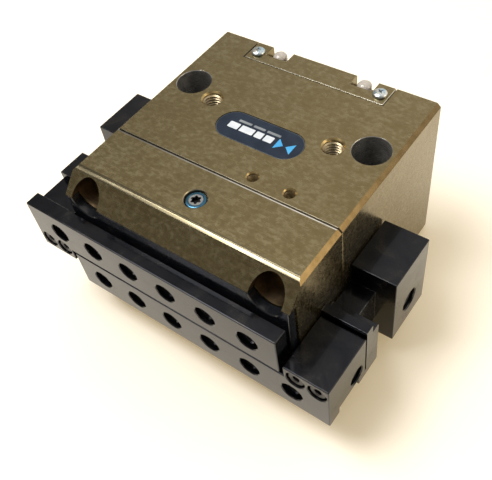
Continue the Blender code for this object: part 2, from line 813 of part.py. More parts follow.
# radius, y
PISTON_ROD_PROFILE = [
    (0, -51.5),
    (1.7, -51.5),
    (2.0, -51.2),
    (2.0, -46.7),
    (ROD_R - 0.3, -46.7),
    (ROD_R, -46.4),
    (ROD_R, -25.65),
    (2.0, -25.65),
    (2.0, -20.1),
    (0, -20.1),
]
PISTON_ROD_TAP_R, PISTON_ROD_TAP_Y = 1.4, (-27.0, -19.0)


def make_piston():
    piston = prism("piston", bore_stadium(PISTON_R), "Y", *FLANGE_Y)
    groove = prism(label("piston_groove"), bore_stadium(BORE_R + 2), "Y", -21.3, -18.9)
    cut(groove, prism(label("piston_core"), bore_stadium(GROOVE_CORE_R), "Y", -22.0, -18.0))
    join(piston, prism(label("piston_boss"), bore_stadium(BOSS_R), "Y", *BOSS_Y))
    rear = PISTON_REAR_Y
    cut(
        piston,
        groove,
        hole("Y", CENTRE, PISTON_HOLE_R, -27.0, rear),
        hole("Y", CENTRE, HEAD_POCKET_R, HEAD_POCKET_Y, rear),
        hole("Y", (SPRING_X, 0, 0), SPRING_POCKET_R, SPRING_FLOOR_Y, rear),
        hole("Y", (-SPRING_X, 0, 0), SPRING_POCKET_R, SPRING_FLOOR_Y, rear),
        hole("Y", MAGNET_CENTRE, MAGNET_R + FIT_GAP, MAGNET_FLOOR_Y, rear),
    )
    return finished(piston, "piston_alloy")


def make_piston_seal():
    seal = prism("piston_seal", bore_stadium(PISTON_SEAL_R), "Y", -21.15, -19.05)
    inside = prism(label("seal_hole"), bore_stadium(SEAL_HOLE_R), "Y", -24.0, PISTON_REAR_Y)
    return finished(cut(seal, inside), "seal")


def sensing_magnet():
    profile = pin_profile(MAGNET_R, *MAGNET_Y, MAGNET_CHAMFER)
    finished(turned("sensing_magnet", profile, "Y", MAGNET_CENTRE), "magnet")


def make_piston_rod():
    rod = turned("piston_rod", PISTON_ROD_PROFILE, "Y", CENTRE)
    cut(rod, hole("Y", CENTRE, PISTON_ROD_TAP_R, *PISTON_ROD_TAP_Y))
    return finished(rod, "ground")


def piston_screw():
    seat = PISTON_SCREW_SEAT_Y
    cap_screw("piston_screw", "Y", CENTRE, PISTON_SCREW, seat, 1, "black_oxide")


# ---------------------------------------------------------------- wedge hook
HOOK_X, HOOK_Y, HOOK_HALF_Z = 6.5, -50.9, 3.3
HOOK_FRONT, HOOK_REAR = 3.6, 4.0  # reach in front of and behind HOOK_Y
HOOK_BEVEL = 0.4
HOOK_HOLE_R, HOOK_HOLE_Y = 2.12, (-51.9, -40.0)
RIB_TOP = 7.4
RIB_R = 1.5
RIB_RUN = 1.6  # x distance from a rib's middle to the centre of its rounded end
RIB_ROOT_Z = HOOK_HALF_Z - 0.6  # ribs start inside the hook's body
RIB_STEPS = 5
RIB_ANGLE = math.atan2(STROKE_PISTON, STROKE_JAW)
RIB_HALF = RIB_RUN / math.cos(RIB_ANGLE)


def rib_outline(turn):
    return stadium(RIB_HALF, RIB_R, RIB_STEPS, turn, (0, HOOK_Y))


def make_wedge_hook():
    """Two inclined ribs: the upper one drives the left jaw, the lower one the right jaw."""
    hook = block(
        "wedge_hook",
        (-HOOK_X, HOOK_X),
        (HOOK_Y - HOOK_FRONT, HOOK_Y + HOOK_REAR),
        (-HOOK_HALF_Z, HOOK_HALF_Z),
        HOOK_BEVEL,
    )
    lower = rib_outline(math.pi - RIB_ANGLE)
    join(
        hook,
        prism(label("upper_rib"), rib_outline(RIB_ANGLE), "Z", RIB_ROOT_Z, RIB_TOP),
        prism(label("lower_rib"), lower, "Z", -RIB_TOP, -RIB_ROOT_Z),
    )
    cut(hook, hole("Y", CENTRE, HOOK_HOLE_R, *HOOK_HOLE_Y))
    return finished(hook, "ground")


# ---------------------------------------------------------------- springs
COIL_Y = (-19.9, -3.3)
COIL_R, WIRE_R = 2.55, 0.42
COIL_TURNS = 6
STEPS_PER_TURN = 8
WIRE_SIDES = 4
CLOSED_TURNS = 0.75  # at each end
OPENING_TURNS = 0.25  # the pitch opens up over this much more
CLOSED_PITCH = 2.1 * WIRE_R


def coil(name, x):
    """A compression spring along Y with closed turns at both ends."""
    shape = bmesh.new()
    low, high = COIL_Y
    # how much of the open length has been used up at each step
    opened = [0.0]
    for k in range(COIL_TURNS * STEPS_PER_TURN):
        turn = (k + 0.5) / STEPS_PER_TURN
        past_closed = min(turn, COIL_TURNS - turn) - CLOSED_TURNS
        opened.append(opened[-1] + max(0.0, min(past_closed, OPENING_TURNS)))
    open_length = high - low - 2 * WIRE_R - CLOSED_PITCH * COIL_TURNS
    rings = []
    for k, share in enumerate(opened):
        along = CLOSED_PITCH * k / STEPS_PER_TURN + open_length * share / opened[-1]
        angle = 2 * math.pi * k / STEPS_PER_TURN
        out = Vector((math.cos(angle), 0, math.sin(angle)))
        centre = Vector((x, low + WIRE_R + along, 0)) + COIL_R * out
        ring = []
        for m in range(WIRE_SIDES):
            around = 2 * math.pi * m / WIRE_SIDES
            offset = math.cos(around) * out + math.sin(around) * Vector((0, 1, 0))
            ring.append(shape.verts.new(centre + WIRE_R * offset))
        rings.append(ring)
    for near, far in zip(rings, rings[1:]):
        for m in range(WIRE_SIDES):
            n = (m + 1) % WIRE_SIDES
            shape.faces.new((near[m], near[n], far[n], far[m]))
    shape.faces.new(rings[0])
    shape.faces.new(list(reversed(rings[-1])))
    return new_object(name, shape, (x, high, 0))


def springs():
    """Two springs behind the piston hold the jaws closed."""
    for i, side in enumerate(LEFT_RIGHT):
        finished(coil(f"spring_{i + 1}", side * SPRING_X), "spring")


# ---------------------------------------------------------------- jaws
# All places are the left jaw's; the right jaw is the same turned half round +Y.
JAW_X = (-43.65, -32.3)  # outer and inner face beside the housing
JAW_CUT_X = (JAW_X[0] - OVER, JAW_X[1] + OVER)
LEG_Y, LEG_Z = (-41.4, -26.2), (-7.2, 14.9)
WEB_X, WEB_Y, WEB_Z = (-38.6, JAW_X[1] - 0.01), (-51.0, -40.0), (-1.25, 9.75)
BAR_Z = (0.25, 12.0)
BAR_FRONT_Y, BAR_BACK_Y = -69.3, -65.35
BAR_END_X = 31.3
STEP_Z = 9.8  # underside of the strip's step that hooks over the finger block
# y, z
STRIP_SECTION = [
    (-49.0, -2.4),
    (-49.0, BAR_Z[1]),
    (-57.1, BAR_Z[1]),
    (-57.1, STEP_Z),
    (-53.9, STEP_Z),
    (-53.9, -5.1),
    (-51.5, -5.1),
    (-51.5, -2.4),
]
CARRIER_BEVEL, BAR_BEVEL, DRIVE_BEVEL = 0.3, 0.35, 0.4
BAR_SCREW_XS, BAR_SCREW_Z = (-40.7, -35.25), -0.4
BAR_TAP_R, BAR_TAP_Y = 1.2, (-55.0, -50.4)
BAR_SCREW_SEAT_Y = -66.65
FINGER_BLOCK_Y, FINGER_BLOCK_Z = (BAR_FRONT_Y, -54.2), (-3.5, BAR_Z[1])
BEHIND_BLOCK_Y = -53.0
FINGER_XS, FINGER_Z = (23.5, 12.0, 0.5, -11.0, -22.5, -34.0), 6.1
FINGER_TAP_R, SLEEVE_R, SLEEVE_DEPTH = 1.65, 2.75, 1.6
FINGER_BLIND_DEPTH = 6.0

# rod seat, screw clearance and counterbore, one behind the other along X
SEAT_X, CLEARANCE_X, COUNTERBORE_X = (-39.5, -30.0), (-42.0, -38.0), (-45.0, -40.5)
ROD_NEAR_X, ROD_FAR_X = -39.3, 29.9
ROD_NEAR_CHAMFER, ROD_FAR_CHAMFER = 0.3, 0.5
ROD_TAP_DEPTH = 7.0
ROD_SCREW_SEAT_X = -40.6

DRIVE_X, DRIVE_Y, DRIVE_Z = (-6.4, 16.4), (-61.4, -29.95), (3.7, 11.8)
DRIVE_BORE_X = (-8.0, 18.0)
RIB_GAP = 0.12
DRIVE_GROOVE_Z = (2.0, RIB_TOP + 0.3)


def rod_end_cutters(rod):
    centre = (0, rod.y, rod.z)
    return [
        hole("X", centre, rod.radius + FIT_GAP, *SEAT_X),
        hole("X", centre, rod.clear_r, *CLEARANCE_X, 10),
        hole("X", centre, rod.counterbore_r, *COUNTERBORE_X),
    ]


def jaw_carrier(side):
    """A tall rear leg, a recessed web and a strip that the finger bar bolts to."""
    carrier = block(f"jaw_carrier_{side}", JAW_X, LEG_Y, LEG_Z, CARRIER_BEVEL)
    join(
        carrier,
        block(label("web"), WEB_X, WEB_Y, WEB_Z),
        prism(label("strip"), STRIP_SECTION, "X", *JAW_X, CARRIER_BEVEL),
    )
    cutters = rod_end_cutters(REAR_ROD)
    for x in BAR_SCREW_XS:
        cutters.append(hole("Y", (x, 0, BAR_SCREW_Z), BAR_TAP_R, *BAR_TAP_Y))
    return finished(cut(carrier, *cutters), "burnished")


def finger_hole(x):
    """Finger fastening: a counterbore for a centring sleeve and a tapped hole, which goes
    through the bar but stays blind in the finger block."""
    through = x > JAW_X[1]
    end = BAR_BACK_Y + OVER if through else BAR_FRONT_Y + FINGER_BLIND_DEPTH
    profile = stepped(
        BAR_FRONT_Y - OVER, (SLEEVE_R, BAR_FRONT_Y + SLEEVE_DEPTH), (FINGER_TAP_R, end)
    )
    return turned(label("finger_hole"), profile, "Y", (x, 0, FINGER_Z))


def finger_bar(side):
    """The block beside the housing and the bar across its front are one piece."""
    bar = block(
        f"finger_bar_{side}",
        (JAW_X[0], BAR_END_X),
        (BAR_FRONT_Y, BAR_BACK_Y),
        BAR_Z,
        BAR_BEVEL,
    )
    join(bar, block(label("finger_block"), JAW_X, FINGER_BLOCK_Y, FINGER_BLOCK_Z, BAR_BEVEL))
    step_z = (STEP_Z - 0.1, BAR_Z[1] + OVER)
    cutters = [pocket(JAW_CUT_X, (BAR_BACK_Y, BEHIND_BLOCK_Y), step_z)]
    cutters += rod_end_cutters(FRONT_ROD)
    cutters += [finger_hole(x) for x in FINGER_XS]
    profile = stepped(
        BAR_FRONT_Y - OVER, (2.4, BAR_FRONT_Y + 2.8), (1.4, BEHIND_BLOCK_Y)
    )
    for x in BAR_SCREW_XS:
        cutters.append(turned(label("bar_counterbore"), profile, "Y", (x, 0, BAR_SCREW_Z)))
    return finished(cut(bar, *cutters), "burnished")


def guide_rod(rod, side):
    """A rod with a tapped near end; its far end runs in the other side wall's blind bore."""
    centre = (0, rod.y, rod.z)
    profile = [
        (0, ROD_NEAR_X),
        (rod.radius - ROD_NEAR_CHAMFER, ROD_NEAR_X),
        (rod.radius, ROD_NEAR_X + ROD_NEAR_CHAMFER),
        (rod.radius, ROD_FAR_X - ROD_FAR_CHAMFER),
        (rod.radius - ROD_FAR_CHAMFER, ROD_FAR_X),
        (0, ROD_FAR_X),
    ]
    piece = turned(f"guide_rod_{rod.place}_{side}", profile, "X", centre)
    cut(piece, hole("X", centre, rod.tap_r, ROD_NEAR_X - OVER, ROD_NEAR_X + ROD_TAP_DEPTH))
    return finished(piece, "ground")


def drive_block(side):
    """Sits on both rods; its inclined groove takes the hook's upper rib over the stroke."""
    drive = block(f"drive_block_{side}", DRIVE_X, DRIVE_Y, DRIVE_Z, DRIVE_BEVEL)
    groove = stadium(
        RIB_HALF + math.hypot(STROKE_JAW, STROKE_PISTON) / 2.0,
        RIB_R + RIB_GAP,
        RIB_STEPS,
        RIB_ANGLE,
        (STROKE_JAW / 2.0, HOOK_Y + STROKE_PISTON / 2.0),
    )
    cutters = [
        hole("X", (0, rod.y, rod.z), rod.radius + FIT_GAP, *DRIVE_BORE_X) for rod in RODS
    ]
    cut(drive, *cutters, prism(label("groove"), groove, "Z", *DRIVE_GROOVE_Z))
    return finished(drive, "ground")


def rod_screw(rod, side):
    name = f"rod_screw_{rod.place}_{side}"
    centre = (0, rod.y, rod.z)
    return cap_screw(name, "X", centre, rod.screw, ROD_SCREW_SEAT_X, -1, "black_oxide")


def bar_screw(number, x, side):
    name = f"bar_screw_{number}_{side}"
    centre = (x, 0, BAR_SCREW_Z)
    return cap_screw(name, "Y", centre, BAR_SCREW, BAR_SCREW_SEAT_Y, -1, "black_oxide")


def jaw(side):
    """One jaw, its pieces parented to an empty on its slide axis."""
    pieces = [jaw_carrier(side), finger_bar(side)]
    pieces += [guide_rod(rod, side) for rod in RODS]
    pieces.append(drive_block(side))
    pieces += [rod_screw(rod, side) for rod in RODS]
    pieces += [bar_screw(i + 1, x, side) for i, x in enumerate(BAR_SCREW_XS)]
    frame = bpy.data.objects.new(f"jaw_{side}_slide", None)
    bpy.context.scene.collection.objects.link(frame)
    for piece in pieces:
        piece.parent = frame
    if side == "right":
        frame.rotation_euler = (0.0, math.pi, 0.0)


# ---------------------------------------------------------------- assembly
def build():
    """Builds every piece; the order sets the numbers in the tools' names."""
    housing = make_cylinder_housing()
    guide_housing()
    front_cover()
    front_cover_screws()
    housing_screws()
    dowel_pins()
    cylinder_cover()
    cover_seal()
    cover_screws()
    sensor_bracket()
    bracket_screws()
    sensor_plugs()
    label_plate(housing)
    lube_plug()
    guide_bushes()
    rod_bearing()

    sliding = [make_piston(), make_piston_seal()]
    sensing_magnet()
    sliding.append(make_piston_rod())
    piston_screw()
    sliding.append(make_wedge_hook())
    for piece in sliding:
        piece["slides_along"] = "+Y"
    springs()

    jaw("left")
    jaw("right")


for old in list(bpy.data.objects):
    bpy.data.objects.remove(old, do_unlink=True)
build()
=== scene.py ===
"""Looks for the two-jaw pneumatic gripper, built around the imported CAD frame.

Frame of the row: +X stroke, -Y finger side, +Z label side, metres. Shapes below are
written in millimetres. Every piece is modelled in the row frame at rest and rides on
its CAD body.
"""

import math

import bmesh
import bpy
from mathutils import Matrix, Vector


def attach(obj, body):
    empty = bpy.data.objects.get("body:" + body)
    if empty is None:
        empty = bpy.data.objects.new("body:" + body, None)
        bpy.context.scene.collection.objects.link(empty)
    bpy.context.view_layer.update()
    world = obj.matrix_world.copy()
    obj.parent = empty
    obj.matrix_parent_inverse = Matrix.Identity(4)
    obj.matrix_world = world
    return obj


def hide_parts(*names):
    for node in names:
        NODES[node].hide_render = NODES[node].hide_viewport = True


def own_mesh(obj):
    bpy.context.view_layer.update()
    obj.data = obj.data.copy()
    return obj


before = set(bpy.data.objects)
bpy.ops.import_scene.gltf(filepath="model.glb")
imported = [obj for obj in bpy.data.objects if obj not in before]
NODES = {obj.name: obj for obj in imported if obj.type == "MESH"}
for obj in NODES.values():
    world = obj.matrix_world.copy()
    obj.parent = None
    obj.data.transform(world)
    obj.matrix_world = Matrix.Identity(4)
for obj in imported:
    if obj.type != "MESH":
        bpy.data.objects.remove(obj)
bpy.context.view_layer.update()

MM = 0.001
SEGS = 56
END_STEPS = 28
SCENE = bpy.context.scene
LINKED = SCENE.collection

# ================================================================ materials


class Look:
    """A node material: a Principled shader fed from object-space patterns measured in millimetres."""

    def __init__(self, name):
        self.mat = bpy.data.materials.new(name)
        self.mat.use_nodes = True
        self.tree = self.mat.node_tree
        self.tree.nodes.clear()
        self.out = self.add("ShaderNodeOutputMaterial")
        self.shader = self.add("ShaderNodeBsdfPrincipled")
        self.link(self.shader.outputs[0], self.out.inputs["Surface"])
        coords = self.add("ShaderNodeTexCoord")
        scale = self.add("ShaderNodeVectorMath", operation="SCALE")
        scale.inputs["Scale"].default_value = 1000.0
        self.link(coords.outputs["Object"], scale.inputs[0])
        self.place = scale.outputs[0]

    def add(self, kind, **props):
        node = self.tree.nodes.new(kind)
        for key, value in props.items():
            setattr(node, key, value)
        return node

    def link(self, a, b):
        self.tree.links.new(a, b)

    def put(self, socket, value):
        if isinstance(value, (int, float)):
            socket.default_value = value
        elif isinstance(value, (tuple, list)):
            socket.default_value = (*value, 1.0) if len(value) == 3 and socket.type == "RGBA" else value
        else:
            self.link(value, socket)

    def moved(self, stretch=(1, 1, 1), offset=(0, 0, 0)):
        node = self.add("ShaderNodeMapping")
        node.inputs["Scale"].default_value = stretch
        node.inputs["Location"].default_value = offset
        self.link(self.place, node.inputs["Vector"])
        return node.outputs[0]

    def noise(self, scale, detail=3.0, rough=0.55, distort=0.0, stretch=(1, 1, 1), offset=(0, 0, 0)):
        node = self.add("ShaderNodeTexNoise")
        self.link(self.moved(stretch, offset), node.inputs["Vector"])
        node.inputs["Scale"].default_value = scale
        node.inputs["Detail"].default_value = detail
        node.inputs["Roughness"].default_value = rough
        node.inputs["Distortion"].default_value = distort
        return node.outputs[0]

    def cells(self, scale, feature="F1", stretch=(1, 1, 1), offset=(0, 0, 0)):
        node = self.add("ShaderNodeTexVoronoi", feature=feature)
        self.link(self.moved(stretch, offset), node.inputs["Vector"])
        node.inputs["Scale"].default_value = scale
        return node.outputs["Distance"]

    def span(self, value, a, b, c=0.0, d=1.0, smooth=False):
        node = self.add("ShaderNodeMapRange")
        node.interpolation_type = "SMOOTHSTEP" if smooth else "LINEAR"
        self.put(node.inputs["Value"], value)
        for key, v in (("From Min", a), ("From Max", b), ("To Min", c), ("To Max", d)):
            self.put(node.inputs[key], v)
        return node.outputs[0]

    def math(self, operation, a, b=0.0, clamp=False):
        node = self.add("ShaderNodeMath", operation=operation, use_clamp=clamp)
        self.put(node.inputs[0], a)
        self.put(node.inputs[1], b)
        return node.outputs[0]

    def mix(self, fac, a, b, blend="MIX"):
        node = self.add("ShaderNodeMix", data_type="RGBA", blend_type=blend)
        self.put(node.inputs[0], fac)
        self.put(node.inputs[6], a)
        self.put(node.inputs[7], b)
        return node.outputs[2]

    def ramp(self, fac, *stops):
        node = self.add("ShaderNodeValToRGB")
        band = node.color_ramp
        while len(band.elements) < len(stops):
            band.elements.new(0.5)
        for element, (at, colour) in zip(band.elements, stops):
            element.position = at
            element.color = (*colour, 1.0)
        self.put(node.inputs[0], fac)
        return node.outputs[0]

    def edges(self, radius, low=0.004, high=0.12):
        """0 on a flat or gently curved face, 1 on an edge within `radius` (mm)."""
        soft = self.add("ShaderNodeBevel", samples=6)
        soft.inputs["Radius"].default_value = radius * MM
        true = self.add("ShaderNodeNewGeometry")
        dot = self.add("ShaderNodeVectorMath", operation="DOT_PRODUCT")
        self.link(soft.outputs[0], dot.inputs[0])
        self.link(true.outputs["Normal"], dot.inputs[1])
        return self.span(self.math("SUBTRACT", 1.0, dot.outputs["Value"]), low, high, smooth=True)

    def bump(self, height, depth, strength=1.0, before=None):
        """`depth` is the height in millimetres between 0 and 1 of `height`."""
        node = self.add("ShaderNodeBump")
        node.inputs["Strength"].default_value = strength
        node.inputs["Distance"].default_value = depth * MM
        self.put(node.inputs["Height"], height)
        if before is not None:
            self.link(before, node.inputs["Normal"])
        self.link(node.outputs[0], self.shader.inputs["Normal"])
        return node.outputs[0]

    def set(self, **values):
        names = {
            "colour": "Base Color",
            "rough": "Roughness",
            "metal": "Metallic",
            "coat": "Coat Weight",
            "coat_rough": "Coat Roughness",
            "grain": "Anisotropic",
            "specular": "Specular IOR Level",
            "through": "Transmission Weight",
            "ior": "IOR",
            "inside": "Subsurface Weight",
            "inside_radius": "Subsurface Radius",
            "inside_scale": "Subsurface Scale",
        }
        for key, value in values.items():
            self.put(self.shader.inputs[names[key]], value)
        return self.mat


def srgb(r, g, b):
    def one(v):
        v = v / 255.0
        return v / 12.92 if v <= 0.04045 else ((v + 0.055) / 1.055) ** 2.4

    return (one(r), one(g), one(b))


def scaled(colour, k):
    return tuple(v * k for v in colour)


def anodised(name, tint=(1.0, 1.0, 1.0), rough=0.25):
    """Hard-anodised aluminium: olive bronze, with a cloudy, flecked tone and a faint milled grain along X."""
    k = Look(name)
    cloud = k.noise(0.16, 3.0, 0.5, 0.3)
    fleck = k.noise(0.85, 2.5, 0.5, 0.4, stretch=(0.85, 1.2, 1.0), offset=(3.1, 7.7, 1.9))
    fine = k.noise(4.2, 3.0, 0.6, offset=(11.0, 2.0, 5.0))
    grain = k.noise(1.3, 2.0, 0.5, stretch=(0.05, 3.0, 3.0))
    tone = k.math("ADD", k.math("MULTIPLY", fleck, 0.68), k.math("MULTIPLY", cloud, 0.28))
    tone = k.math("ADD", tone, k.math("MULTIPLY", fine, 0.04))
    dark, mid, light = (0.190, 0.148, 0.073), (0.212, 0.170, 0.088), (0.268, 0.226, 0.134)
    paint = [tuple(a * b for a, b in zip(c, tint)) for c in (dark, mid, light)]
    colour = k.ramp(tone, (0.38, paint[0]), (0.5, paint[1]), (0.66, paint[2]))
    colour = k.mix(k.span(grain, 0.35, 0.7, 0.0, 0.14), colour, scaled(paint[2], 1.1))
    # edges lightened towards gold: part real wear of the anodising, part painted edge highlight
    edge_wear_and_highlight = k.math("MULTIPLY", k.edges(0.16), k.span(k.noise(0.9, 2.0), 0.35, 0.6, 0.45, 1.0))
    colour = k.mix(k.math("MULTIPLY", edge_wear_and_highlight, 0.5), colour, (0.44, 0.36, 0.22))
    roughness = k.math("ADD", k.span(fleck, 0.3, 0.7, rough - 0.03, rough + 0.05), k.span(grain, 0.3, 0.7, -0.02, 0.03))
    first = k.bump(grain, 0.0022, 0.6)
    k.bump(fine, 0.0012, 0.5, first)
    return k.set(colour=colour, rough=roughness, metal=0.94)


def machined_edge(name, a, b, fade=0.0, grooved=False):
    """A chamfer cut through the anodising on a finished block: brighter and more golden, with fine tool lines. With
    `fade`, the colour is painted darker towards -X: painted shade.
    """
    k = Look(name)
    lines = k.noise(2.4, 2.0, 0.5, stretch=(0.05, 2.0, 2.0))
    patch = k.noise(0.35, 2.0)
    colour = k.ramp(patch, (0.35, a), (0.6, b))
    if grooved:
        grooves = k.noise(1.3, 1.0, 0.4, stretch=(0.02, 2.2, 2.2))
        colour = k.mix(k.span(grooves, 0.44, 0.56), scaled(a, 0.5), colour)
    # painted shade: the colour is darkened towards -X, down to `fade` times itself at x = -34 mm
    if fade:
        apart = k.add("ShaderNodeSeparateXYZ")
        k.link(k.place, apart.inputs[0])
        along = k.span(apart.outputs[0], -34.0, 26.0, fade, 1.0, smooth=True)
        colour = k.mix(along, (0.0, 0.0, 0.0), colour)
    k.bump(lines, 0.001, 0.4)
    return k.set(colour=colour, rough=k.span(lines, 0.3, 0.7, 0.2, 0.28), metal=1.0)


def bore_wall(name, tone, rough=0.3, metal=1.0, across=(0.1, 0.1, 3.0)):
    """The wall of a drilled hole: turned rings, with darker patches at random."""
    k = Look(name)
    rings = k.noise(2.4, 2.0, 0.5, stretch=across)
    patch = k.noise(0.5, 3.0)
    colour = k.mix(k.span(patch, 0.35, 0.65), scaled(tone, 0.62), tone)
    k.bump(rings, 0.004, 0.6)
    return k.set(colour=colour, rough=k.span(rings, 0.3, 0.7, rough - 0.05, rough + 0.08), metal=metal)


def burnished(name):
    """Hardened steel, black burnished and oiled: blue-black with smears, faint grinding lines and bright edges that are
    part real wear, part painted edge highlight.
    """
    k = Look(name)
    smear = k.noise(0.11, 4.0, 0.6, 1.2)
    lines = k.noise(1.9, 3.0, 0.6, stretch=(0.03, 3.0, 3.0))
    specks = k.span(k.cells(1.15, offset=(5.0, 1.0, 9.0)), 0.02, 0.09, 1.0, 0.0)
    colour = k.ramp(smear, (0.3, (0.008, 0.010, 0.016)), (0.55, (0.016, 0.017, 0.022)), (0.75, (0.034, 0.032, 0.031)))
    # edges lightened to pale grey: part real wear, part painted edge highlight
    edge_wear_and_highlight = k.math("MULTIPLY", k.edges(0.22), k.span(k.noise(0.7, 3.0), 0.38, 0.62, 0.15, 1.0))
    colour = k.mix(k.math("MULTIPLY", edge_wear_and_highlight, 0.75), colour, (0.42, 0.41, 0.40))
    colour = k.mix(k.math("MULTIPLY", specks, 0.10), colour, (0.35, 0.34, 0.33))
    rough = k.math("ADD", k.span(smear, 0.25, 0.75, 0.10, 0.30), k.span(lines, 0.3, 0.7, -0.02, 0.05))
    first = k.bump(lines, 0.002, 0.5)
    k.bump(k.noise(0.5, 3.0), 0.01, 0.25, first)
    return k.set(colour=colour, rough=rough, metal=0.9, coat=0.24, coat_rough=0.06)


def black_paint(name):
    """Black glossy cover: a fine orange-peel skin with dust."""
    k = Look(name)
    skin = k.noise(1.4, 3.0, 0.5)
    dust = k.span(k.cells(0.9), 0.015, 0.06, 1.0, 0.0)
    colour = k.mix(k.span(k.noise(0.15, 3.0), 0.35, 0.65), (0.004, 0.005, 0.007), (0.009, 0.010, 0.013))
    colour = k.mix(k.math("MULTIPLY", dust, 0.18), colour, (0.4, 0.4, 0.4))
    k.bump(skin, 0.006, 0.5)
    return k.set(colour=colour, rough=k.span(skin, 0.3, 0.7, 0.14, 0.26), metal=0.0, specular=0.45, coat=0.15, coat_rough=0.08)


def steel(name, tone, low, high, axis=(0.04, 3.0, 3.0), stain=0.8):
    """Bright steel: fine grinding lines across or along, light oil stain."""
    k = Look(name)
    lines = k.noise(2.6, 3.0, 0.6, stretch=axis)
    film = k.noise(0.3, 3.0, 0.6, 0.6)
    colour = k.mix(k.span(film, 0.35, 0.7), tone, scaled(tone, stain))
    # edges lightened to near white: part wear, part painted edge highlight
    edge_wear_and_highlight = k.edges(0.12)
    colour = k.mix(k.math("MULTIPLY", edge_wear_and_highlight, 0.4), colour, (0.85, 0.85, 0.85))
    k.bump(lines, 0.0018, 0.6)
    return k.set(colour=colour, rough=k.span(lines, 0.3, 0.7, low, high), metal=1.0)


def zinc(name):
    """Zinc plating with a blue passivation that turns in places to a pale straw colour."""
    k = Look(name)
    film = k.noise(0.8, 3.0, 0.6, 0.9)
    grain = k.noise(5.0, 2.0)
    colour = k.ramp(film, (0.32, (0.30, 0.52, 0.68)), (0.47, (0.62, 0.70, 0.76)), (0.6, (0.78, 0.78, 0.74)), (0.75, (0.74, 0.66, 0.48)))
    # edges lightened to near white: part wear, part painted edge highlight
    colour = k.mix(k.math("MULTIPLY", k.edges(0.12), 0.5), colour, (0.92, 0.92, 0.92))
    k.bump(grain, 0.004, 0.5)
    return k.set(colour=colour, rough=k.span(grain, 0.3, 0.7, 0.18, 0.32), metal=1.0)


def lube_zinc(name, centre, ring):
    """The six-lobe screw's plating: a blue outer band, bright inside it."""
    k = Look(name)
    offset = k.add("ShaderNodeVectorMath", operation="SUBTRACT")
    k.link(k.place, offset.inputs[0])
    offset.inputs[1].default_value = (centre[0], centre[1], 0.0)
    flat = k.add("ShaderNodeVectorMath", operation="MULTIPLY")
    k.link(offset.outputs[0], flat.inputs[0])
    flat.inputs[1].default_value = (1.0, 1.0, 0.0)
    length = k.add("ShaderNodeVectorMath", operation="LENGTH")
    k.link(flat.outputs[0], length.inputs[0])
    wobble = k.span(k.noise(1.2, 2.0), 0.3, 0.7, -0.08, 0.08)
    away = k.math("ADD", length.outputs["Value"], wobble)
    band = k.span(away, ring - 0.12, ring + 0.12, smooth=True)
    bright = k.mix(k.noise(1.6, 3.0), (0.28, 0.29, 0.30), (0.50, 0.50, 0.50))
    blue = k.mix(k.noise(1.1, 3.0), (0.022, 0.085, 0.16), (0.08, 0.19, 0.28))
    colour = k.mix(band, bright, blue)
    grain = k.noise(5.0, 2.0)
    k.bump(grain, 0.004, 0.5)
    return k.set(colour=colour, rough=k.span(grain, 0.3, 0.7, 0.2, 0.34), metal=1.0)


def black_oxide(name):
    k = Look(name)
    film = k.noise(0.9, 3.0, 0.6, 0.5)
    colour = k.mix(film, (0.022, 0.022, 0.026), (0.065, 0.062, 0.062))
    # edges lightened to grey: part wear, part painted edge highlight
    colour = k.mix(k.math("MULTIPLY", k.edges(0.12), 0.6), colour, (0.36, 0.35, 0.34))
    k.bump(k.noise(4.5, 2.0), 0.005, 0.6)
    return k.set(colour=colour, rough=k.span(film, 0.3, 0.7, 0.24, 0.42), metal=0.9)


def bronze(name):
    """Sintered bronze: open, slightly grainy and oily."""
    k = Look(name)
    pores = k.span(k.cells(4.5), 0.05, 0.3)
    patch = k.noise(0.6, 3.0)
    colour = k.mix(patch, (0.42, 0.22, 0.075), (0.62, 0.38, 0.15))
    colour = k.mix(k.span(pores, 0.0, 1.0, 0.5, 0.0), colour, (0.12, 0.07, 0.03))
    k.bump(pores, 0.012, 0.6)
    return k.set(colour=colour, rough=k.span(pores, 0.0, 1.0, 0.5, 0.3), metal=0.95)


def rubber(name):
    k = Look(name)
    skin = k.noise(3.0, 4.0, 0.6)
    colour = k.mix(skin, (0.010, 0.010, 0.011), (0.028, 0.027, 0.027))
    k.bump(skin, 0.01, 0.5)
    return k.set(colour=colour, rough=k.span(skin, 0.3, 0.7, 0.55, 0.8), metal=0.0)


def print_film(name, a, b, rough=0.2):
    """A printed film under a glossy varnish."""
    k = Look(name)
    tone = k.noise(0.25, 2.0)
    weave = k.noise(6.0, 2.0)
    colour = k.mix(k.span(tone, 0.35, 0.65), a, b)
    k.bump(weave, 0.002, 0.4)
    return k.set(colour=colour, rough=k.span(weave, 0.3, 0.7, rough - 0.04, rough + 0.08), metal=0.0, specular=0.22, coat=0.1, coat_rough=0.06)


def clear_plug(name):
    """Pale, half clear plastic."""
    k = Look(name)
    haze = k.noise(0.9, 3.0)
    colour = k.mix(haze, (0.62, 0.56, 0.50), (0.80, 0.76, 0.72))
    k.bump(k.noise(3.0, 2.0), 0.004, 0.4)
    return k.set(
        colour=colour,
        rough=k.span(haze, 0.3, 0.7, 0.1, 0.24),
        metal=0.0,
        through=0.45,
        ior=1.48,
        coat=0.3,
        coat_rough=0.08,
    )


def cast_metal(name, tone, low, high):
    k = Look(name)
    rings = k.noise(2.2, 3.0, 0.55, stretch=(1.0, 0.08, 1.0))
    patch = k.noise(0.4, 3.0)
    colour = k.mix(patch, tone, scaled(tone, 0.8))
    k.bump(rings, 0.003, 0.6)
    return k.set(colour=colour, rough=k.span(rings, 0.3, 0.7, low, high), metal=1.0)


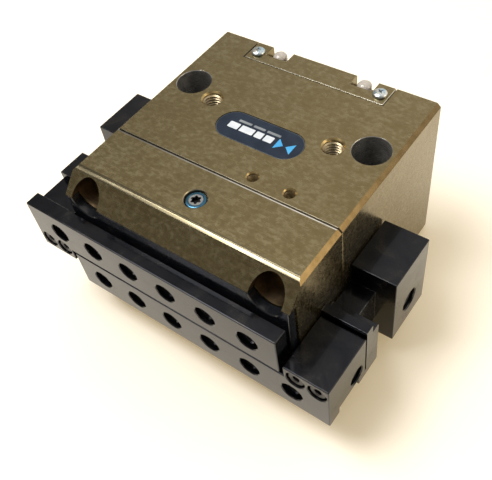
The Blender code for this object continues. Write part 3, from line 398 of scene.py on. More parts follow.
LOOKS = {
    "anodised": anodised("anodised_olive"),
    "edge": machined_edge("anodised_edge", (0.165, 0.112, 0.048), (0.215, 0.150, 0.070)),
    # the number after the two colours darkens these finishes towards -X: painted shade
    "facet": machined_edge("anodised_facet", (0.30, 0.26, 0.165), (0.37, 0.325, 0.215), 0.72, True),
    "lip": machined_edge("anodised_lip", (0.74, 0.71, 0.65), (0.90, 0.88, 0.83), 0.3),
    "seam": machined_edge("anodised_seam", (0.60, 0.56, 0.44), (0.76, 0.72, 0.60), 0.6),
    # a dark copy of the machined finish for the rear lips of the parting groove: painted shade
    "lip_painted_shade": machined_edge("anodised_lip_dark", (0.085, 0.075, 0.055), (0.12, 0.105, 0.075), 0.6),
    "bore": bore_wall("bore_grey", (0.50, 0.49, 0.47), 0.20, 0.80),
    "brass_bore": bore_wall("bore_brass", (0.46, 0.38, 0.25), 0.36),
    "gold_bore": bore_wall("bore_gold", (0.50, 0.37, 0.17), 0.28),
    "pocket": bore_wall("pocket_brown", (0.34, 0.24, 0.14), 0.32, 1.0, (0.1, 2.2, 0.1)),
    "burnished": burnished("burnished_steel"),
    "black_cover": black_paint("cover_black"),
    "ground": steel("ground_steel", (0.60, 0.60, 0.61), 0.12, 0.24),
    "zinc": zinc("zinc_blue"),
    "lube": lube_zinc("zinc_lube", (0.0, -53.0), 1.62),
    "black_oxide": black_oxide("black_oxide"),
    "bronze": bronze("sintered_bronze"),
    "seal": rubber("seal_rubber"),
    "label": print_film("label_navy", (0.007, 0.014, 0.029), (0.012, 0.022, 0.041)),
    "label_rim": print_film("label_rim", (0.05, 0.065, 0.085), (0.08, 0.095, 0.12), 0.3),
    "label_grey": print_film("label_grey", (0.17, 0.19, 0.21), (0.24, 0.26, 0.28), 0.3),
    "label_white": print_film("label_white", (0.56, 0.60, 0.66), (0.70, 0.74, 0.78)),
    "label_blue": print_film("label_blue", (0.05, 0.30, 0.62), (0.08, 0.40, 0.74)),
    "plug": clear_plug("plug_plastic"),
    "spring": steel("spring_steel", (0.36, 0.36, 0.38), 0.22, 0.36, (3.0, 3.0, 3.0)),
    "piston_alloy": cast_metal("piston_aluminium", (0.62, 0.60, 0.56), 0.24, 0.38),
    "magnet": steel("magnet_nickel", (0.55, 0.54, 0.50), 0.14, 0.26),
}

# ================================================================ shapes


def new_object(name, bm, finish=None):
    for vert in bm.verts:
        vert.co = vert.co * MM
    bmesh.ops.recalc_face_normals(bm, faces=bm.faces)
    mesh = bpy.data.meshes.new(name)
    bm.to_mesh(mesh)
    bm.free()
    obj = bpy.data.objects.new(name, mesh)
    LINKED.objects.link(obj)
    if finish:
        for one in (finish,) if isinstance(finish, str) else finish:
            mesh.materials.append(LOOKS[one])
    return obj


def round_off(bm, edges, size, segments=3, material=-1):
    bmesh.ops.bevel(
        bm,
        geom=edges,
        offset=size,
        segments=segments,
        affect="EDGES",
        profile=0.5,
        clamp_overlap=True,
        material=material,
    )


def prism_mesh(outline, axis, low, high, ends=0.0, segments=3, sides=0.0, material=-1):
    """A closed outline extruded from low to high. `ends` rounds the rim at both ends, `sides` the edges along the axis."""
    bm = bmesh.new()

    def at(point, along):
        u, v = point
        return {"X": (along, u, v), "Y": (u, along, v), "Z": (u, v, along)}[axis]

    index = "XYZ".index(axis)
    face = bm.faces.new([bm.verts.new(at(p, low)) for p in outline])
    made = bmesh.ops.extrude_face_region(bm, geom=[face])
    moved = [g for g in made["geom"] if isinstance(g, bmesh.types.BMVert)]
    bmesh.ops.translate(bm, verts=moved, vec=Vector(at((0, 0), high - low)))
    bmesh.ops.recalc_face_normals(bm, faces=bm.faces)
    if sides:
        long = [e for e in bm.edges if abs(e.verts[0].co[index] - e.verts[1].co[index]) > 1e-6]
        round_off(bm, long, sides, segments)
    if ends:
        rim = [
            e
            for e in bm.edges
            if abs(e.verts[0].co[index] - e.verts[1].co[index]) < 1e-6
            and (abs(e.verts[0].co[index] - low) < 1e-6 or abs(e.verts[0].co[index] - high) < 1e-6)
        ]
        round_off(bm, rim, ends, segments, material)
    return bm


def prism(name, outline, axis, low, high, ends=0.0, segments=3, sides=0.0, finish=None, material=-1):
    return new_object(name, prism_mesh(outline, axis, low, high, ends, segments, sides, material), finish)


def block(name, x, y, z, bevel=0.0, finish=None, segments=4, material=-1):
    bm = bmesh.new()
    bmesh.ops.create_cube(bm, size=1.0)
    for vert in bm.verts:
        for i, (low, high) in enumerate((x, y, z)):
            vert.co[i] = low if vert.co[i] < 0 else high
    if bevel:
        round_off(bm, list(bm.edges), bevel, segments, material)
    return new_object(name, bm, finish)


def turned_mesh(profile, axis, centre, segs=SEGS, wave=None):
    """A (radius, along) profile turned about the axis. `wave(radius, along, k)` may alter the radius of step k."""
    bm = bmesh.new()
    index = "XYZ".index(axis)
    across = [i for i in range(3) if i != index]
    rings = []
    for radius, along in profile:
        ring = []
        for k in range(1 if radius == 0 else segs):
            angle = 2 * math.pi * (k + 0.5) / segs
            r = wave(radius, along, k) if wave and radius else radius
            co = list(centre)
            co[index] = along
            if radius:
                co[across[0]] += r * math.cos(angle)
                co[across[1]] += r * math.sin(angle)
            ring.append(bm.verts.new(co))
        rings.append(ring)
    solid = len(rings[0]) == 1
    pairs = list(zip(rings, rings[1:])) + ([] if solid else [(rings[-1], rings[0])])
    for a, b in pairs:
        for k in range(segs):
            n = (k + 1) % segs
            if len(a) == 1 and len(b) == 1:
                continue
            if len(a) == 1:
                bm.faces.new((a[0], b[k], b[n]))
            elif len(b) == 1:
                bm.faces.new((a[k], b[0], a[n]))
            else:
                bm.faces.new((a[k], b[k], b[n], a[n]))
    return bm


def turned(name, profile, axis, centre, segs=SEGS, finish=None, wave=None):
    return new_object(name, turned_mesh(profile, axis, centre, segs, wave), finish)


def arc(radius, along, size, way_r, way_a, steps=4):
    """Points of a rounded corner whose sharp corner is (radius, along): from the `way_r` side to the `way_a` side."""
    cr, ca = radius + way_r * size, along + way_a * size
    points = []
    for k in range(steps + 1):
        t = math.pi / 2 * k / steps
        points.append((cr - way_r * size * math.sin(t), ca - way_a * size * math.cos(t)))
    return points


def rod_profile(radius, low, high, round_=0.0):
    if not round_:
        return [(0, low), (radius, low), (radius, high), (0, high)]
    return [
        (0, low),
        *arc(radius, low, round_, -1, 1),
        *reversed(arc(radius, high, round_, -1, -1)),
        (0, high),
    ]


def ring_profile(inner, outer, low, high, c=0.15):
    return [
        (inner, low + c),
        (inner + c, low),
        (outer - c, low),
        (outer, low + c),
        (outer, high - c),
        (outer - c, high),
        (inner + c, high),
        (inner, high - c),
    ]


def stadium(half, radius, per_end=END_STEPS, turn=0.0, centre=(0.0, 0.0)):
    points = []
    for side in (1, -1):
        for k in range(per_end + 1):
            angle = -math.pi / 2 + math.pi * k / per_end
            points.append((side * (half + radius * math.cos(angle)), side * radius * math.sin(angle)))
    c, s = math.cos(turn), math.sin(turn)
    return [(centre[0] + c * x - s * y, centre[1] + s * x + c * y) for x, y in points]


def rounded(x, y, radius, per_corner=9):
    points = []
    for cx, cy, start in (
        (x[1] - radius, y[1] - radius, 0),
        (x[0] + radius, y[1] - radius, 90),
        (x[0] + radius, y[0] + radius, 180),
        (x[1] - radius, y[0] + radius, 270),
    ):
        for k in range(per_corner + 1):
            a = math.radians(start + 90 * k / per_corner)
            points.append((cx + radius * math.cos(a), cy + radius * math.sin(a)))
    return points


def hexagon(across, centre=(0.0, 0.0)):
    r = across / math.sqrt(3)
    return [(centre[0] + r * math.cos(math.pi * k / 3), centre[1] + r * math.sin(math.pi * k / 3)) for k in range(6)]


def lobes(radius, depth, centre=(0.0, 0.0), steps=96):
    points = []
    for k in range(steps):
        a = 2 * math.pi * k / steps
        r = radius + depth * math.cos(6 * a)
        points.append((centre[0] + r * math.cos(a), centre[1] + r * math.sin(a)))
    return points


TOOLS = []


def combine(target, tools, operation):
    for tool in tools:
        tool.hide_render = True
        TOOLS.append(tool)
        step = target.modifiers.new(operation.lower(), "BOOLEAN")
        step.operation = operation
        step.solver = "EXACT"
        step.material_mode = "TRANSFER"
        step.object = tool
    return target


def cut(target, *tools):
    return combine(target, tools, "DIFFERENCE")


def join(target, *tools):
    return combine(target, tools, "UNION")


made_count = [0]


def label(kind):
    made_count[0] += 1
    return f"tool_{kind}_{made_count[0]:03d}"


def hole(axis, centre, radius, low, high, segs=SEGS, finish=None):
    return turned(label("hole"), rod_profile(radius, low, high), axis, centre, segs, finish)


def drilled(axis, centre, radius, bottom, face, rim=0.15, segs=SEGS, finish=None, point=False, over=1.0):
    """A round cutter from `bottom` out through the plane `face`, with a broken edge there and, for `point`, a drill's cone."""
    way = 1 if face > bottom else -1
    profile = [
        (0, bottom - way * radius * 0.5 if point else bottom),
        (radius, bottom),
        (radius, face - way * rim),
        (radius + rim + over, face + way * over),
        (0, face + way * over),
    ]
    return turned(label("drill"), profile, axis, centre, segs, finish)


def pocket(x, y, z, finish=None, bevel=0.0):
    return block(label("pocket"), x, y, z, bevel, finish)


def evaluated(obj):
    bpy.context.view_layer.update()
    graph = bpy.context.evaluated_depsgraph_get()
    mesh = bpy.data.meshes.new_from_object(obj.evaluated_get(graph), depsgraph=graph)
    old = obj.data
    obj.modifiers.clear()
    obj.data = mesh
    mesh.name = obj.name
    bpy.data.meshes.remove(old)
    while TOOLS:
        tool = TOOLS.pop()
        data = tool.data
        bpy.data.objects.remove(tool)
        bpy.data.meshes.remove(data)
    return obj


PIECES = {}


def tidy(obj, angle=32.0):
    """Welds the cuts' slivers, then shades the piece with its large faces ruling the normals."""
    mesh = obj.data
    bm = bmesh.new()
    bm.from_mesh(mesh)
    bmesh.ops.remove_doubles(bm, verts=bm.verts, dist=2e-7)
    bmesh.ops.dissolve_degenerate(bm, edges=bm.edges, dist=2e-7)
    bm.to_mesh(mesh)
    bm.free()
    mesh.shade_smooth()
    mesh.set_sharp_from_angle(angle=math.radians(angle))
    weigh = obj.modifiers.new("weighted", "WEIGHTED_NORMAL")
    weigh.keep_sharp = True
    weigh.weight = 90
    return evaluated(obj)


def piece(obj, body, slot, *nodes, angle=32.0, flip=False):
    """Turns a built object into a finished piece that rides on `body` and stands for CAD `nodes`."""
    evaluated(obj)
    if flip:
        obj.data.transform(Matrix.Rotation(math.pi, 4, "Y"))
    tidy(obj, angle)
    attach(obj, body)
    if nodes:
        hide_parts(*nodes)
    PIECES[obj.name] = obj
    return obj


def socket_tool(axis, centre, across, low, high, finish=None):
    i = [k for k in range(3) if k != "XYZ".index(axis)]
    return prism(label("socket"), hexagon(across, (centre[i[0]], centre[i[1]])), axis, low, high, finish=finish)


def cap_screw(name, axis, centre, head_r, head_h, shank_r, length, seat, way, finish, hexa, knurl=48):
    """A socket head screw: knurled head, chamfered top, hexagon socket with a lead-in."""
    head = seat + way * head_h
    tip = seat - way * length
    c = min(0.3, head_h * 0.14)
    profile = [
        (0, tip),
        (shank_r * 0.75, tip),
        (shank_r, tip + way * shank_r * 0.3),
        (shank_r, seat - way * 0.2),
        (shank_r + 0.12, seat),
        (head_r - 0.12, seat),
        (head_r, seat + way * 0.12),
        (head_r, head - way * (c + 0.12)),
        (head_r - 0.06, head - way * c),
        (head_r - c - 0.06, head),
        (hexa * 0.62 + 0.12, head),
        (hexa * 0.62, head - way * 0.1),
        (0, head - way * 0.1),
    ]
    limits = sorted((seat + way * 0.1, head - way * (c + 0.1)))

    def wave(radius, along, k):
        if knurl and abs(radius - head_r) < 1e-6 and limits[0] - 1e-6 <= along <= limits[1] + 1e-6:
            return radius - (0.09 if k % 2 else 0.0)
        return radius

    screw = turned(name, profile, axis, centre, knurl * 2 if knurl else SEGS, finish, wave)
    deep = sorted((head - way * head_h * 0.55, head + way * 1.0))
    cut(screw, socket_tool(axis, centre, hexa, *deep))
    return screw


def thread(axis, centre, wall, crest, pitch, low, high, finish, name=None, steps=40, bm=None):
    """A ridge that winds round the inside of a hole, from the wall to the crest radius, running out at both ends."""
    own = bm is None
    bm = bmesh.new() if own else bm
    index = "XYZ".index(axis)
    across = [i for i in range(3) if i != index]
    turns = (high - low) / pitch
    count = int(turns * steps)
    root = pitch * 0.44
    top = pitch * 0.07
    rings = []
    for k in range(count + 1):
        angle = 2 * math.pi * k / steps
        along = low + pitch * k / steps
        fade = min(1.0, k / (steps * 0.35), (count - k) / (steps * 0.35))
        inner = wall + 0.02 - (wall + 0.02 - crest) * max(fade, 0.04)
        ring = []
        for radius, offset in (
            (wall + 0.05, -root),
            (inner, -top),
            (inner, top),
            (wall + 0.05, root),
        ):
            co = list(centre)
            co[index] = along + offset
            co[across[0]] += radius * math.cos(angle)
            co[across[1]] += radius * math.sin(angle)
            ring.append(bm.verts.new(co))
        rings.append(ring)
    for a, b in zip(rings, rings[1:]):
        for m in range(4):
            n = (m + 1) % 4
            bm.faces.new((a[m], a[n], b[n], b[m]))
    bm.faces.new(rings[0])
    bm.faces.new(list(reversed(rings[-1])))
    if own:
        return new_object(name, bm, finish)
    return bm


# ================================================================ dimensions
HALF_W, HALF_T = 32.0, 22.3
REAR_BLOCK, FRONT_FROM, FRONT_FACE, LIP_FRONT = 44.5, 44.7, 62.0, 64.5
FRONT_CHAMFER, SIDE_CHAMFER, LIP_CHAMFER = 5.4, 1.0, 0.5
BORE_R, BORE_HALF, BORE_TO = 13.0, 6.0, 26.0
ROD_REAR_Y, ROD_REAR_R = -33.8, 3.0
ROD_FRONT_Y, ROD_FRONT_R = -58.0, 2.0
ROD_REAR_Z, ROD_FRONT_Z = 7.4, 6.8
BUSH_REAR_R, BUSH_FRONT_R, BUSH_IN, BUSH_OUT = 4.0, 2.9, 17.6, 31.4
BLIND_IN, BLIND_OUT, BLIND_END, ROD_FAR = 17.1, 30.0, 30.3, 29.9
RUN_GAP, FIT_GAP = 0.05, 0.1
CAVITY_X, CAVITY_Z, CAVITY_REAR = 17.0, 12.1, 29.6
HOOK_Y, HOOK_HALF_Z, RIB_TOP, RIB_R, RIB_RUN = -50.9, 3.3, 7.4, 1.5, 1.6
JAW_OUT, JAW_IN = 43.65, 32.3
BAR_TOP, BAR_LOW, BLOCK_LOW, LEG_TOP, LEG_LOW = 12.0, 0.25, -3.5, 14.9, -7.2
BAR_BACK, BAR_FRONT, BAR_END, BAR_HOLE_Z = 65.35, 69.3, 31.3, 6.1
STEP_FROM, STEP_TOP, STRIP_REAR, STRIP_LOW = 57.1, 9.8, 49.0, -5.1
BIG_X, BIG_Y, BIG_R = 25.7, -21.5, 4.5
PORT_X, PORT_Y, PORT_R = 17.5, -24.5, 2.4
SCREW_X, SCREW_Z = 25.85, 17.3
BRACKET_X, BRACKET_Y, BRACKET_Z = 20.6, 7.25, 19.3
COVER_X, COVER_Z, COVER_CORNER = 22.5, 15.0, 4.0
SPRING_X = 8.5
LUBE_Y = -53.0
LABEL_X, LABEL_Y = 0.45, -29.5

# ================================================================ rear block
c = SIDE_CHAMFER
OUTLINE = [
    (HALF_W - c, -HALF_T),
    (HALF_W, -HALF_T + c),
    (HALF_W, HALF_T - c),
    (HALF_W - c, HALF_T),
    (-HALF_W + c, HALF_T),
    (-HALF_W, HALF_T - c),
    (-HALF_W, -HALF_T + c),
    (-HALF_W + c, -HALF_T),
]


LIP = 0.30  # the two chamfers that make the parting groove


def body_block(name, low, high, ends):
    """The housing outline along Y. The long edge chamfers take the machined edge finish, and the lips a darkened copy
    of it that paints shade into them.
    """
    bm = prism_mesh(OUTLINE, "Y", low, high)
    rim = [e for e in bm.edges if abs(e.verts[0].co.y - e.verts[1].co.y) < 1e-6]
    if ends:
        round_off(bm, rim, ends, 1)
    corners = [e for e in bm.edges if e.is_manifold and e.calc_face_angle(0) > 0.3]
    round_off(bm, corners, 0.09, 2)
    bm.normal_update()
    for face in bm.faces:
        n = face.normal
        if abs(n.y) < 0.3 and 0.25 < abs(n.x) < 0.97:
            face.material_index = 1
        # the rear lips get the darkened lip finish: painted shade
        if 0.08 < abs(n.y) < 0.97 and abs(n.z) > 0.3 and face.calc_center_median().y < low + 1.0:
            face.material_index = 2
    return new_object(name, bm, ("anodised", "edge", "lip_painted_shade"))


housing = body_block("cylinder_housing_block", -REAR_BLOCK, 0.0, LIP * 0.75)
cutters = [
    prism(label("bore"), stadium(BORE_HALF, BORE_R), "Y", -BORE_TO, 1.0),
    prism(label("seat"), rounded((-COVER_X, COVER_X), (-COVER_Z, COVER_Z), COVER_CORNER), "Y", -5.0, 1.0),
    pocket((-CAVITY_X, CAVITY_X), (-REAR_BLOCK - 1, -CAVITY_REAR), (-CAVITY_Z, CAVITY_Z)),
    hole("Y", (0, 0, 0), 3.15, -CAVITY_REAR - 1, -BORE_TO + 1),
    hole("Y", (0, 0, 0), 5.1, -28.6, -BORE_TO + 1),
    pocket((-BRACKET_X, BRACKET_X), (-BRACKET_Y, 1.0), (BRACKET_Z, HALF_T + 1)),
    hole("Y", (PORT_X, 0, 12.2), 0.9, PORT_Y, -4.0, 24),
    pocket((11.0, 18.0), (-6.0, -4.0), (11.5, 12.9)),
    hole("Z", (PORT_X, PORT_Y, 0), 0.9, 12.2, 16.0, 24),
    hole("Z", (-PORT_X, PORT_Y, 0), 0.9, 4.0, 16.0, 24),
    prism(label("label_recess"), stadium(12.0 - 4.6, 4.6, centre=(LABEL_X, LABEL_Y)), "Z", HALF_T - 0.4, HALF_T + 1),
]
for sx in (1, -1):
    cutters += [
        turned(
            label("mount_hole"),
            [
                (0, -HALF_T - 1),
                (3.95, -HALF_T - 1),
                (2.75, -HALF_T + 0.2),
                (2.75, -13.5),
                (BIG_R, -13.5),
                (BIG_R, HALF_T - 0.18),
                (BIG_R + 0.05, HALF_T - 0.08),
                (BIG_R + 0.15, HALF_T),
                (BIG_R + 0.9, HALF_T + 1),
                (0, HALF_T + 1),
            ],
            "Z",
            (sx * BIG_X, BIG_Y, 0),
            96,
            "bore",
        ),
        turned(
            label("port"),
            [
                (0, 14.0),
                (PORT_R, 15.0),
                (PORT_R, HALF_T - 0.42),
                (PORT_R + 0.32, HALF_T - 0.1),
                (PORT_R + 0.42, HALF_T + 0.0),
                (PORT_R + 1.4, HALF_T + 1),
                (0, HALF_T + 1),
            ],
            "Z",
            (sx * PORT_X, PORT_Y, 0),
            80,
            "gold_bore",
        ),
        drilled("X", (0, ROD_REAR_Y, -sx * ROD_REAR_Z), BUSH_REAR_R + FIT_GAP, sx * 16.5, sx * HALF_W, 0.3, 72),
        hole("X", (0, ROD_REAR_Y, sx * ROD_REAR_Z), BUSH_REAR_R + FIT_GAP, *sorted((sx * 16.5, sx * BLIND_END)), 72),
        hole("Z", (sx * 17.95, -3.94, 0), 1.15, 15.9, 20.0, 32),
        drilled("Y", (sx * 28.4, 0, 0), 1.6, -39.5, -REAR_BLOCK, 0.2, 40),
    ]
    for sz in (1, -1):
        cutters.append(drilled("Y", (sx * SCREW_X, 0, sz * SCREW_Z), 2.15, -35.5, -REAR_BLOCK, 0.2, 40, point=True))
TAPS = ((7.1, -41.4), (17.0, -41.4))
for x, y in TAPS:
    cutters.append(drilled("Z", (x, y, 0), 1.3, 16.3, HALF_T, 0.3, 64, "gold_bore", True))
REAR_TAPS = ((27.2, 17.4), (-27.2, 17.4), (27.2, -17.4), (-27.2, -17.4))
for x, z in REAR_TAPS:
    cutters.append(drilled("Y", (x, 0, z), 2.1, -9.0, 0.0, 0.35, 64, "brass_bore", True))
COVER_SCREWS = ((18.7, 9.5), (-18.7, 9.5), (18.7, -9.5), (-18.7, -9.5))
for x, z in COVER_SCREWS:
    cutters.append(hole("Y", (x, 0, z), 1.35, -13.0, -4.0, 24))
piece(cut(housing, *cutters), "housing", "housing_anodised", "cylinder_housing")

for sx, side in ((1, "right"), (-1, "left")):
    piece(
        thread("Z", (sx * PORT_X, PORT_Y, 0), PORT_R, 2.02, 0.8, 15.2, HALF_T - 0.75, "brass_bore", f"port_thread_{side}", 64),
        "housing",
        "housing_anodised",
        angle=50,
    )
for i, (x, y) in enumerate(TAPS):
    piece(
        thread("Z", (x, y, 0), 1.3, 1.13, 0.5, 16.6, HALF_T - 0.45, "brass_bore", f"tap_thread_{i + 1}", 48),
        "housing",
        "housing_anodised",
        angle=50,
    )
for i, (x, z) in enumerate(REAR_TAPS):
    piece(
        thread("Y", (x, 0, z), 2.1, 1.86, 0.8, -8.6, -0.7, "brass_bore", f"rear_thread_{i + 1}", 48),
        "housing",
        "housing_anodised",
        angle=50,
    )

# ================================================================ front block
lip_z = HALF_T - FRONT_CHAMFER
TOP_Y = -LIP_FRONT + FRONT_CHAMFER
FACET = 0.84  # width of the small bright facet between the label face and the front chamfer


def front_profile():
    """Outline in (y, z): a fine double facet leads from the label face into the front chamfer, and the same below."""
    upper = [
        (-FRONT_FROM, HALF_T - LIP * 0.55),
        (-FRONT_FROM - 0.09, HALF_T - 0.08),
        (-FRONT_FROM - LIP - 0.12, HALF_T),
        (TOP_Y + FACET, HALF_T),
        (TOP_Y + FACET * 0.42, HALF_T - 0.085),
        (TOP_Y + FACET * 0.36, HALF_T - 0.135),
        (TOP_Y + FACET * 0.28, HALF_T - 0.125),
        (TOP_Y - FACET * 0.42, HALF_T - 0.44),
        (TOP_Y - FACET * 0.70, HALF_T - FACET * 0.70),
        (-LIP_FRONT + 0.12, lip_z + 0.12),
        (-LIP_FRONT, lip_z - 0.05),
        (-FRONT_FACE, lip_z - 0.05),
    ]
    lower = [(y, -z) for y, z in reversed(upper)]
    return upper + lower


def front_block():
    outline = front_profile()
    bm = prism_mesh(outline, "X", -HALF_W - 1, HALF_W + 1)
    for face in bm.faces:
        n = face.normal
        if abs(n.x) > 0.5:
            continue
        slope = math.degrees(math.atan2(abs(n.z), abs(n.y)))
        small = face.calc_area() / (2 * HALF_W + 2) < 1.4
        y = face.calc_center_median().y
        if small and ((46.5 < slope < 89.0 and y < -50) or (10 < slope < 86 and y > -46)):
            face.material_index = 2 if y < -50 else 3
    return new_object("guide_housing_block", bm, ("anodised", "edge", "facet", "lip"))


guide = front_block()
trim_mesh = prism_mesh(OUTLINE, "Y", -70.0, -40.0)
for face in trim_mesh.faces:
    if abs(face.normal.y) < 0.3 and 0.25 < abs(face.normal.x) < 0.97:
        face.material_index = 1
trim = new_object(label("trim"), trim_mesh, ("anodised", "edge"))
combine(guide, [trim], "INTERSECT")
cutters = [
    pocket((-CAVITY_X, CAVITY_X), (-FRONT_FACE - 1, -FRONT_FROM + 1), (-CAVITY_Z, CAVITY_Z)),
    turned(
        label("plug_seat"),
        [(0, 12.0), (1.6, 11.5), (1.6, 20.6), (2.75, 20.6), (2.75, HALF_T - 0.2), (2.95, HALF_T), (3.9, HALF_T + 1), (0, HALF_T + 1)],
        "Z",
        (0, LUBE_Y, 0),
        72,
        "brass_bore",
    ),
]
for sx in (1, -1):
    for sz in (1, -1):
        cutters += [
            turned(
                label("screw_pocket"),
                [(0, -70.0), (4.2, -70.0), (4.2, -49.25), (3.95, -49.0), (2.3, -49.0), (2.3, -FRONT_FROM + 1), (0, -FRONT_FROM + 1)],
                "Y",
                (sx * SCREW_X, 0, sz * SCREW_Z),
                80,
                "pocket",
            ),
            hole("X", (0, ROD_FRONT_Y, sz * ROD_FRONT_Z), BUSH_FRONT_R + FIT_GAP, *sorted((sx * 16.5, sx * BLIND_END)), 72)
            if sx == sz
            else drilled("X", (0, ROD_FRONT_Y, sz * ROD_FRONT_Z), BUSH_FRONT_R + FIT_GAP, sx * 16.5, sx * HALF_W, 0.3, 72),
        ]
    cutters += [
        hole("Y", (sx * 24.5, 0, 0), 1.3, -FRONT_FACE - 1, -55.0, 32),
        hole("Y", (sx * 28.4, 0, 0), 1.6, -50.0, -FRONT_FROM + 1, 32),
    ]
piece(cut(guide, *cutters), "housing", "housing_anodised", "guide_housing")

# ================================================================ front cover
cover = block("front_cover_plate", (-31.7, 31.7), (-LIP_FRONT, -FRONT_FACE - 0.2), (-16.6, 16.6), 0.35, "black_cover")
cutters = []
for sx in (1, -1):
    for sz in (1, -1):
        cutters.append(drilled("Y", (sx * SCREW_X, 0, sz * SCREW_Z), 4.5, -60.0, -LIP_FRONT, 0.25, 80))
    cutters.append(
        turned(
            label("sink"),
            [(0, -LIP_FRONT - 0.5), (3.1, -LIP_FRONT - 0.5), (1.45, -LIP_FRONT + 1.3), (1.45, -60.0), (0, -60.0)],
            "Y",
            (sx * 24.5, 0, 0),
            48,
        )
    )
piece(cut(cover, *cutters), "housing", "front_cover_black", "front_cover")
for i, sx in enumerate((-1, 1)):
    screw = turned(
        f"front_cover_screw_{i + 1}_sunk",
        [
            (0, -56.0),
            (1.0, -56.0),
            (1.15, -56.2),
            (1.15, -LIP_FRONT + 1.45),
            (2.38, -LIP_FRONT + 0.22),
            (2.4, -LIP_FRONT + 0.17),
            (2.36, -LIP_FRONT + 0.15),
            (0, -LIP_FRONT + 0.15),
        ],
        "Y",
        (sx * 24.5, 0, 0),
        SEGS,
        "black_oxide",
    )
    cut(screw, socket_tool("Y", (sx * 24.5, 0, 0), 1.5, -65.0, -63.2))
    piece(screw, "housing", "black_oxide_screw", f"front_cover_screw_{i + 1}")

# ================================================================ housing joint
n = 0
for sz in (1, -1):
    for sx in (-1, 1):
        n += 1
        piece(
            cap_screw(f"housing_screw_{n}_head", "Y", (sx * SCREW_X, 0, sz * SCREW_Z), 3.5, 4.0, 2.0, 12.5, -49.2, -1, "zinc", 3.0),
            "housing",
            "zinc_plated_screw",
            f"housing_screw_{n}",
        )
for i, sx in enumerate((1, -1)):
    piece(
        turned(f"dowel_pin_{i + 1}_ground", rod_profile(1.5, -49.7, -39.9, 0.3), "Y", (sx * 28.4, 0, 0), 48, "ground"),
        "housing",
        "ground_steel",
        f"dowel_pin_{i + 1}",
    )

# ================================================================ cylinder cover
rear_cover = prism(
    "cylinder_cover_plate",
    rounded((-COVER_X + 0.2, COVER_X - 0.2), (-COVER_Z + 0.2, COVER_Z - 0.2), COVER_CORNER - 0.2),
    "Y",
    -4.8,
    0.0,
    0.2,
    2,
    finish=("anodised", "edge"),
    material=1,
)
groove = prism(label("seal_groove"), rounded((-COVER_X - 2, COVER_X + 2), (-COVER_Z - 2, COVER_Z + 2), COVER_CORNER + 2), "Y", -3.7, -2.1)
core = prism(label("seal_core"), rounded((-COVER_X + 1.4, COVER_X - 1.4), (-COVER_Z + 1.4, COVER_Z - 1.4), COVER_CORNER - 1.4), "Y", -5.0, 0.5)
cut(groove, core)
cutters = [groove]
for x, z in COVER_SCREWS:
    cutters.append(
        turned(
            label("cover_counterbore"),
            [(0, -6.0), (1.45, -6.0), (1.45, -1.7), (2.4, -1.7), (2.4, -0.15), (3.55, 1.0), (0, 1.0)],
            "Y",
            (x, 0, z),
            64,
            "edge",
        )
    )
for sx in (1, -1):
    cutters.append(hole("Y", (sx * SPRING_X, 0, 0), 3.3, -6.0, -3.2))
piece(cut(rear_cover, *cutters), "housing", "housing_anodised", "cylinder_cover")
cover_seal = prism(
    "cover_seal_ring",
    rounded((-COVER_X + 0.1, COVER_X - 0.1), (-COVER_Z + 0.1, COVER_Z - 0.1), COVER_CORNER - 0.1),
    "Y",
    -3.5,
    -2.3,
    0.3,
    3,
    finish="seal",
)
cut(
    cover_seal,
    prism(label("inside"), rounded((-COVER_X + 1.2, COVER_X - 1.2), (-COVER_Z + 1.2, COVER_Z - 1.2), COVER_CORNER - 1.2), "Y", -5.0, 0.0),
)
piece(cover_seal, "housing", "seal_rubber", "cover_seal")
for i, (x, z) in enumerate(COVER_SCREWS):
    piece(
        cap_screw(f"cover_screw_{i + 1}_head", "Y", (x, 0, z), 2.25, 1.4, 1.2, 9.5, -1.6, 1, "zinc", 1.8, 0),
        "housing",
        "zinc_plated_screw",
        f"cover_screw_{i + 1}",
    )

# ================================================================ sensor bracket
NOTCHES = ((-15.6, -9.2), (9.5, 15.75))
bracket = block(
    "sensor_bracket_plate",
    (-BRACKET_X + 0.25, BRACKET_X - 0.25),
    (-BRACKET_Y + 0.25, -0.15),
    (BRACKET_Z + 0.15, HALF_T),
    0.2,
    ("anodised", "seam"),
    2,
    1,
)
cutters = []
for low, high in NOTCHES:
    outline = rounded((low, high), (-3.9, 3.0), 0.35, 6)
    cutters.append(prism(label("notch"), outline, "Z", BRACKET_Z - 1, HALF_T + 1))
for sx in (1, -1):
    cutters.append(hole("Z", (sx * 17.95, -3.94, 0), 1.35, 18.0, 24.0, 40))
piece(cut(bracket, *cutters), "housing", "housing_anodised", "sensor_bracket")
for i, sx in enumerate((-1, 1)):
    x = sx * 17.95
    head = [(0, 16.4), (0.8, 16.4), (0.95, 16.6), (0.95, HALF_T + 0.08), (1.74, HALF_T + 0.08), (1.8, HALF_T + 0.14), (1.8, HALF_T + 0.36)]
    for k in range(1, 9):
        t = math.pi / 2 * k / 8
        head.append((1.8 * math.cos(t), HALF_T + 0.36 + 0.72 * math.sin(t)) if k < 8 else (0, HALF_T + 1.08))
    screw = turned(f"bracket_screw_{i + 1}_head", head, "Z", (x, -3.94, 0), SEGS, "zinc")
    turn = math.radians(24 if sx < 0 else 52)
    cross = []
    for k in range(4):
        a = turn + k * math.pi / 2
        ux, uy = math.cos(a), math.sin(a)
        vx, vy = -uy, ux
        for along, side in ((0.17, -0.17), (0.85, -0.12), (0.85, 0.12)):
            cross.append((x + along * ux + side * vx, -3.94 + along * uy + side * vy))
    cut(
        screw,
        prism(label("cross"), cross, "Z", HALF_T + 0.35, HALF_T + 2.0),
        turned(label("cone"), [(0, HALF_T + 0.2), (0.42, HALF_T + 1.0), (0.6, HALF_T + 1.4), (0, HALF_T + 1.4)], "Z", (x, -3.94, 0), 24),
    )
    piece(screw, "housing", "zinc_plated_screw", f"bracket_screw_{i + 1}")
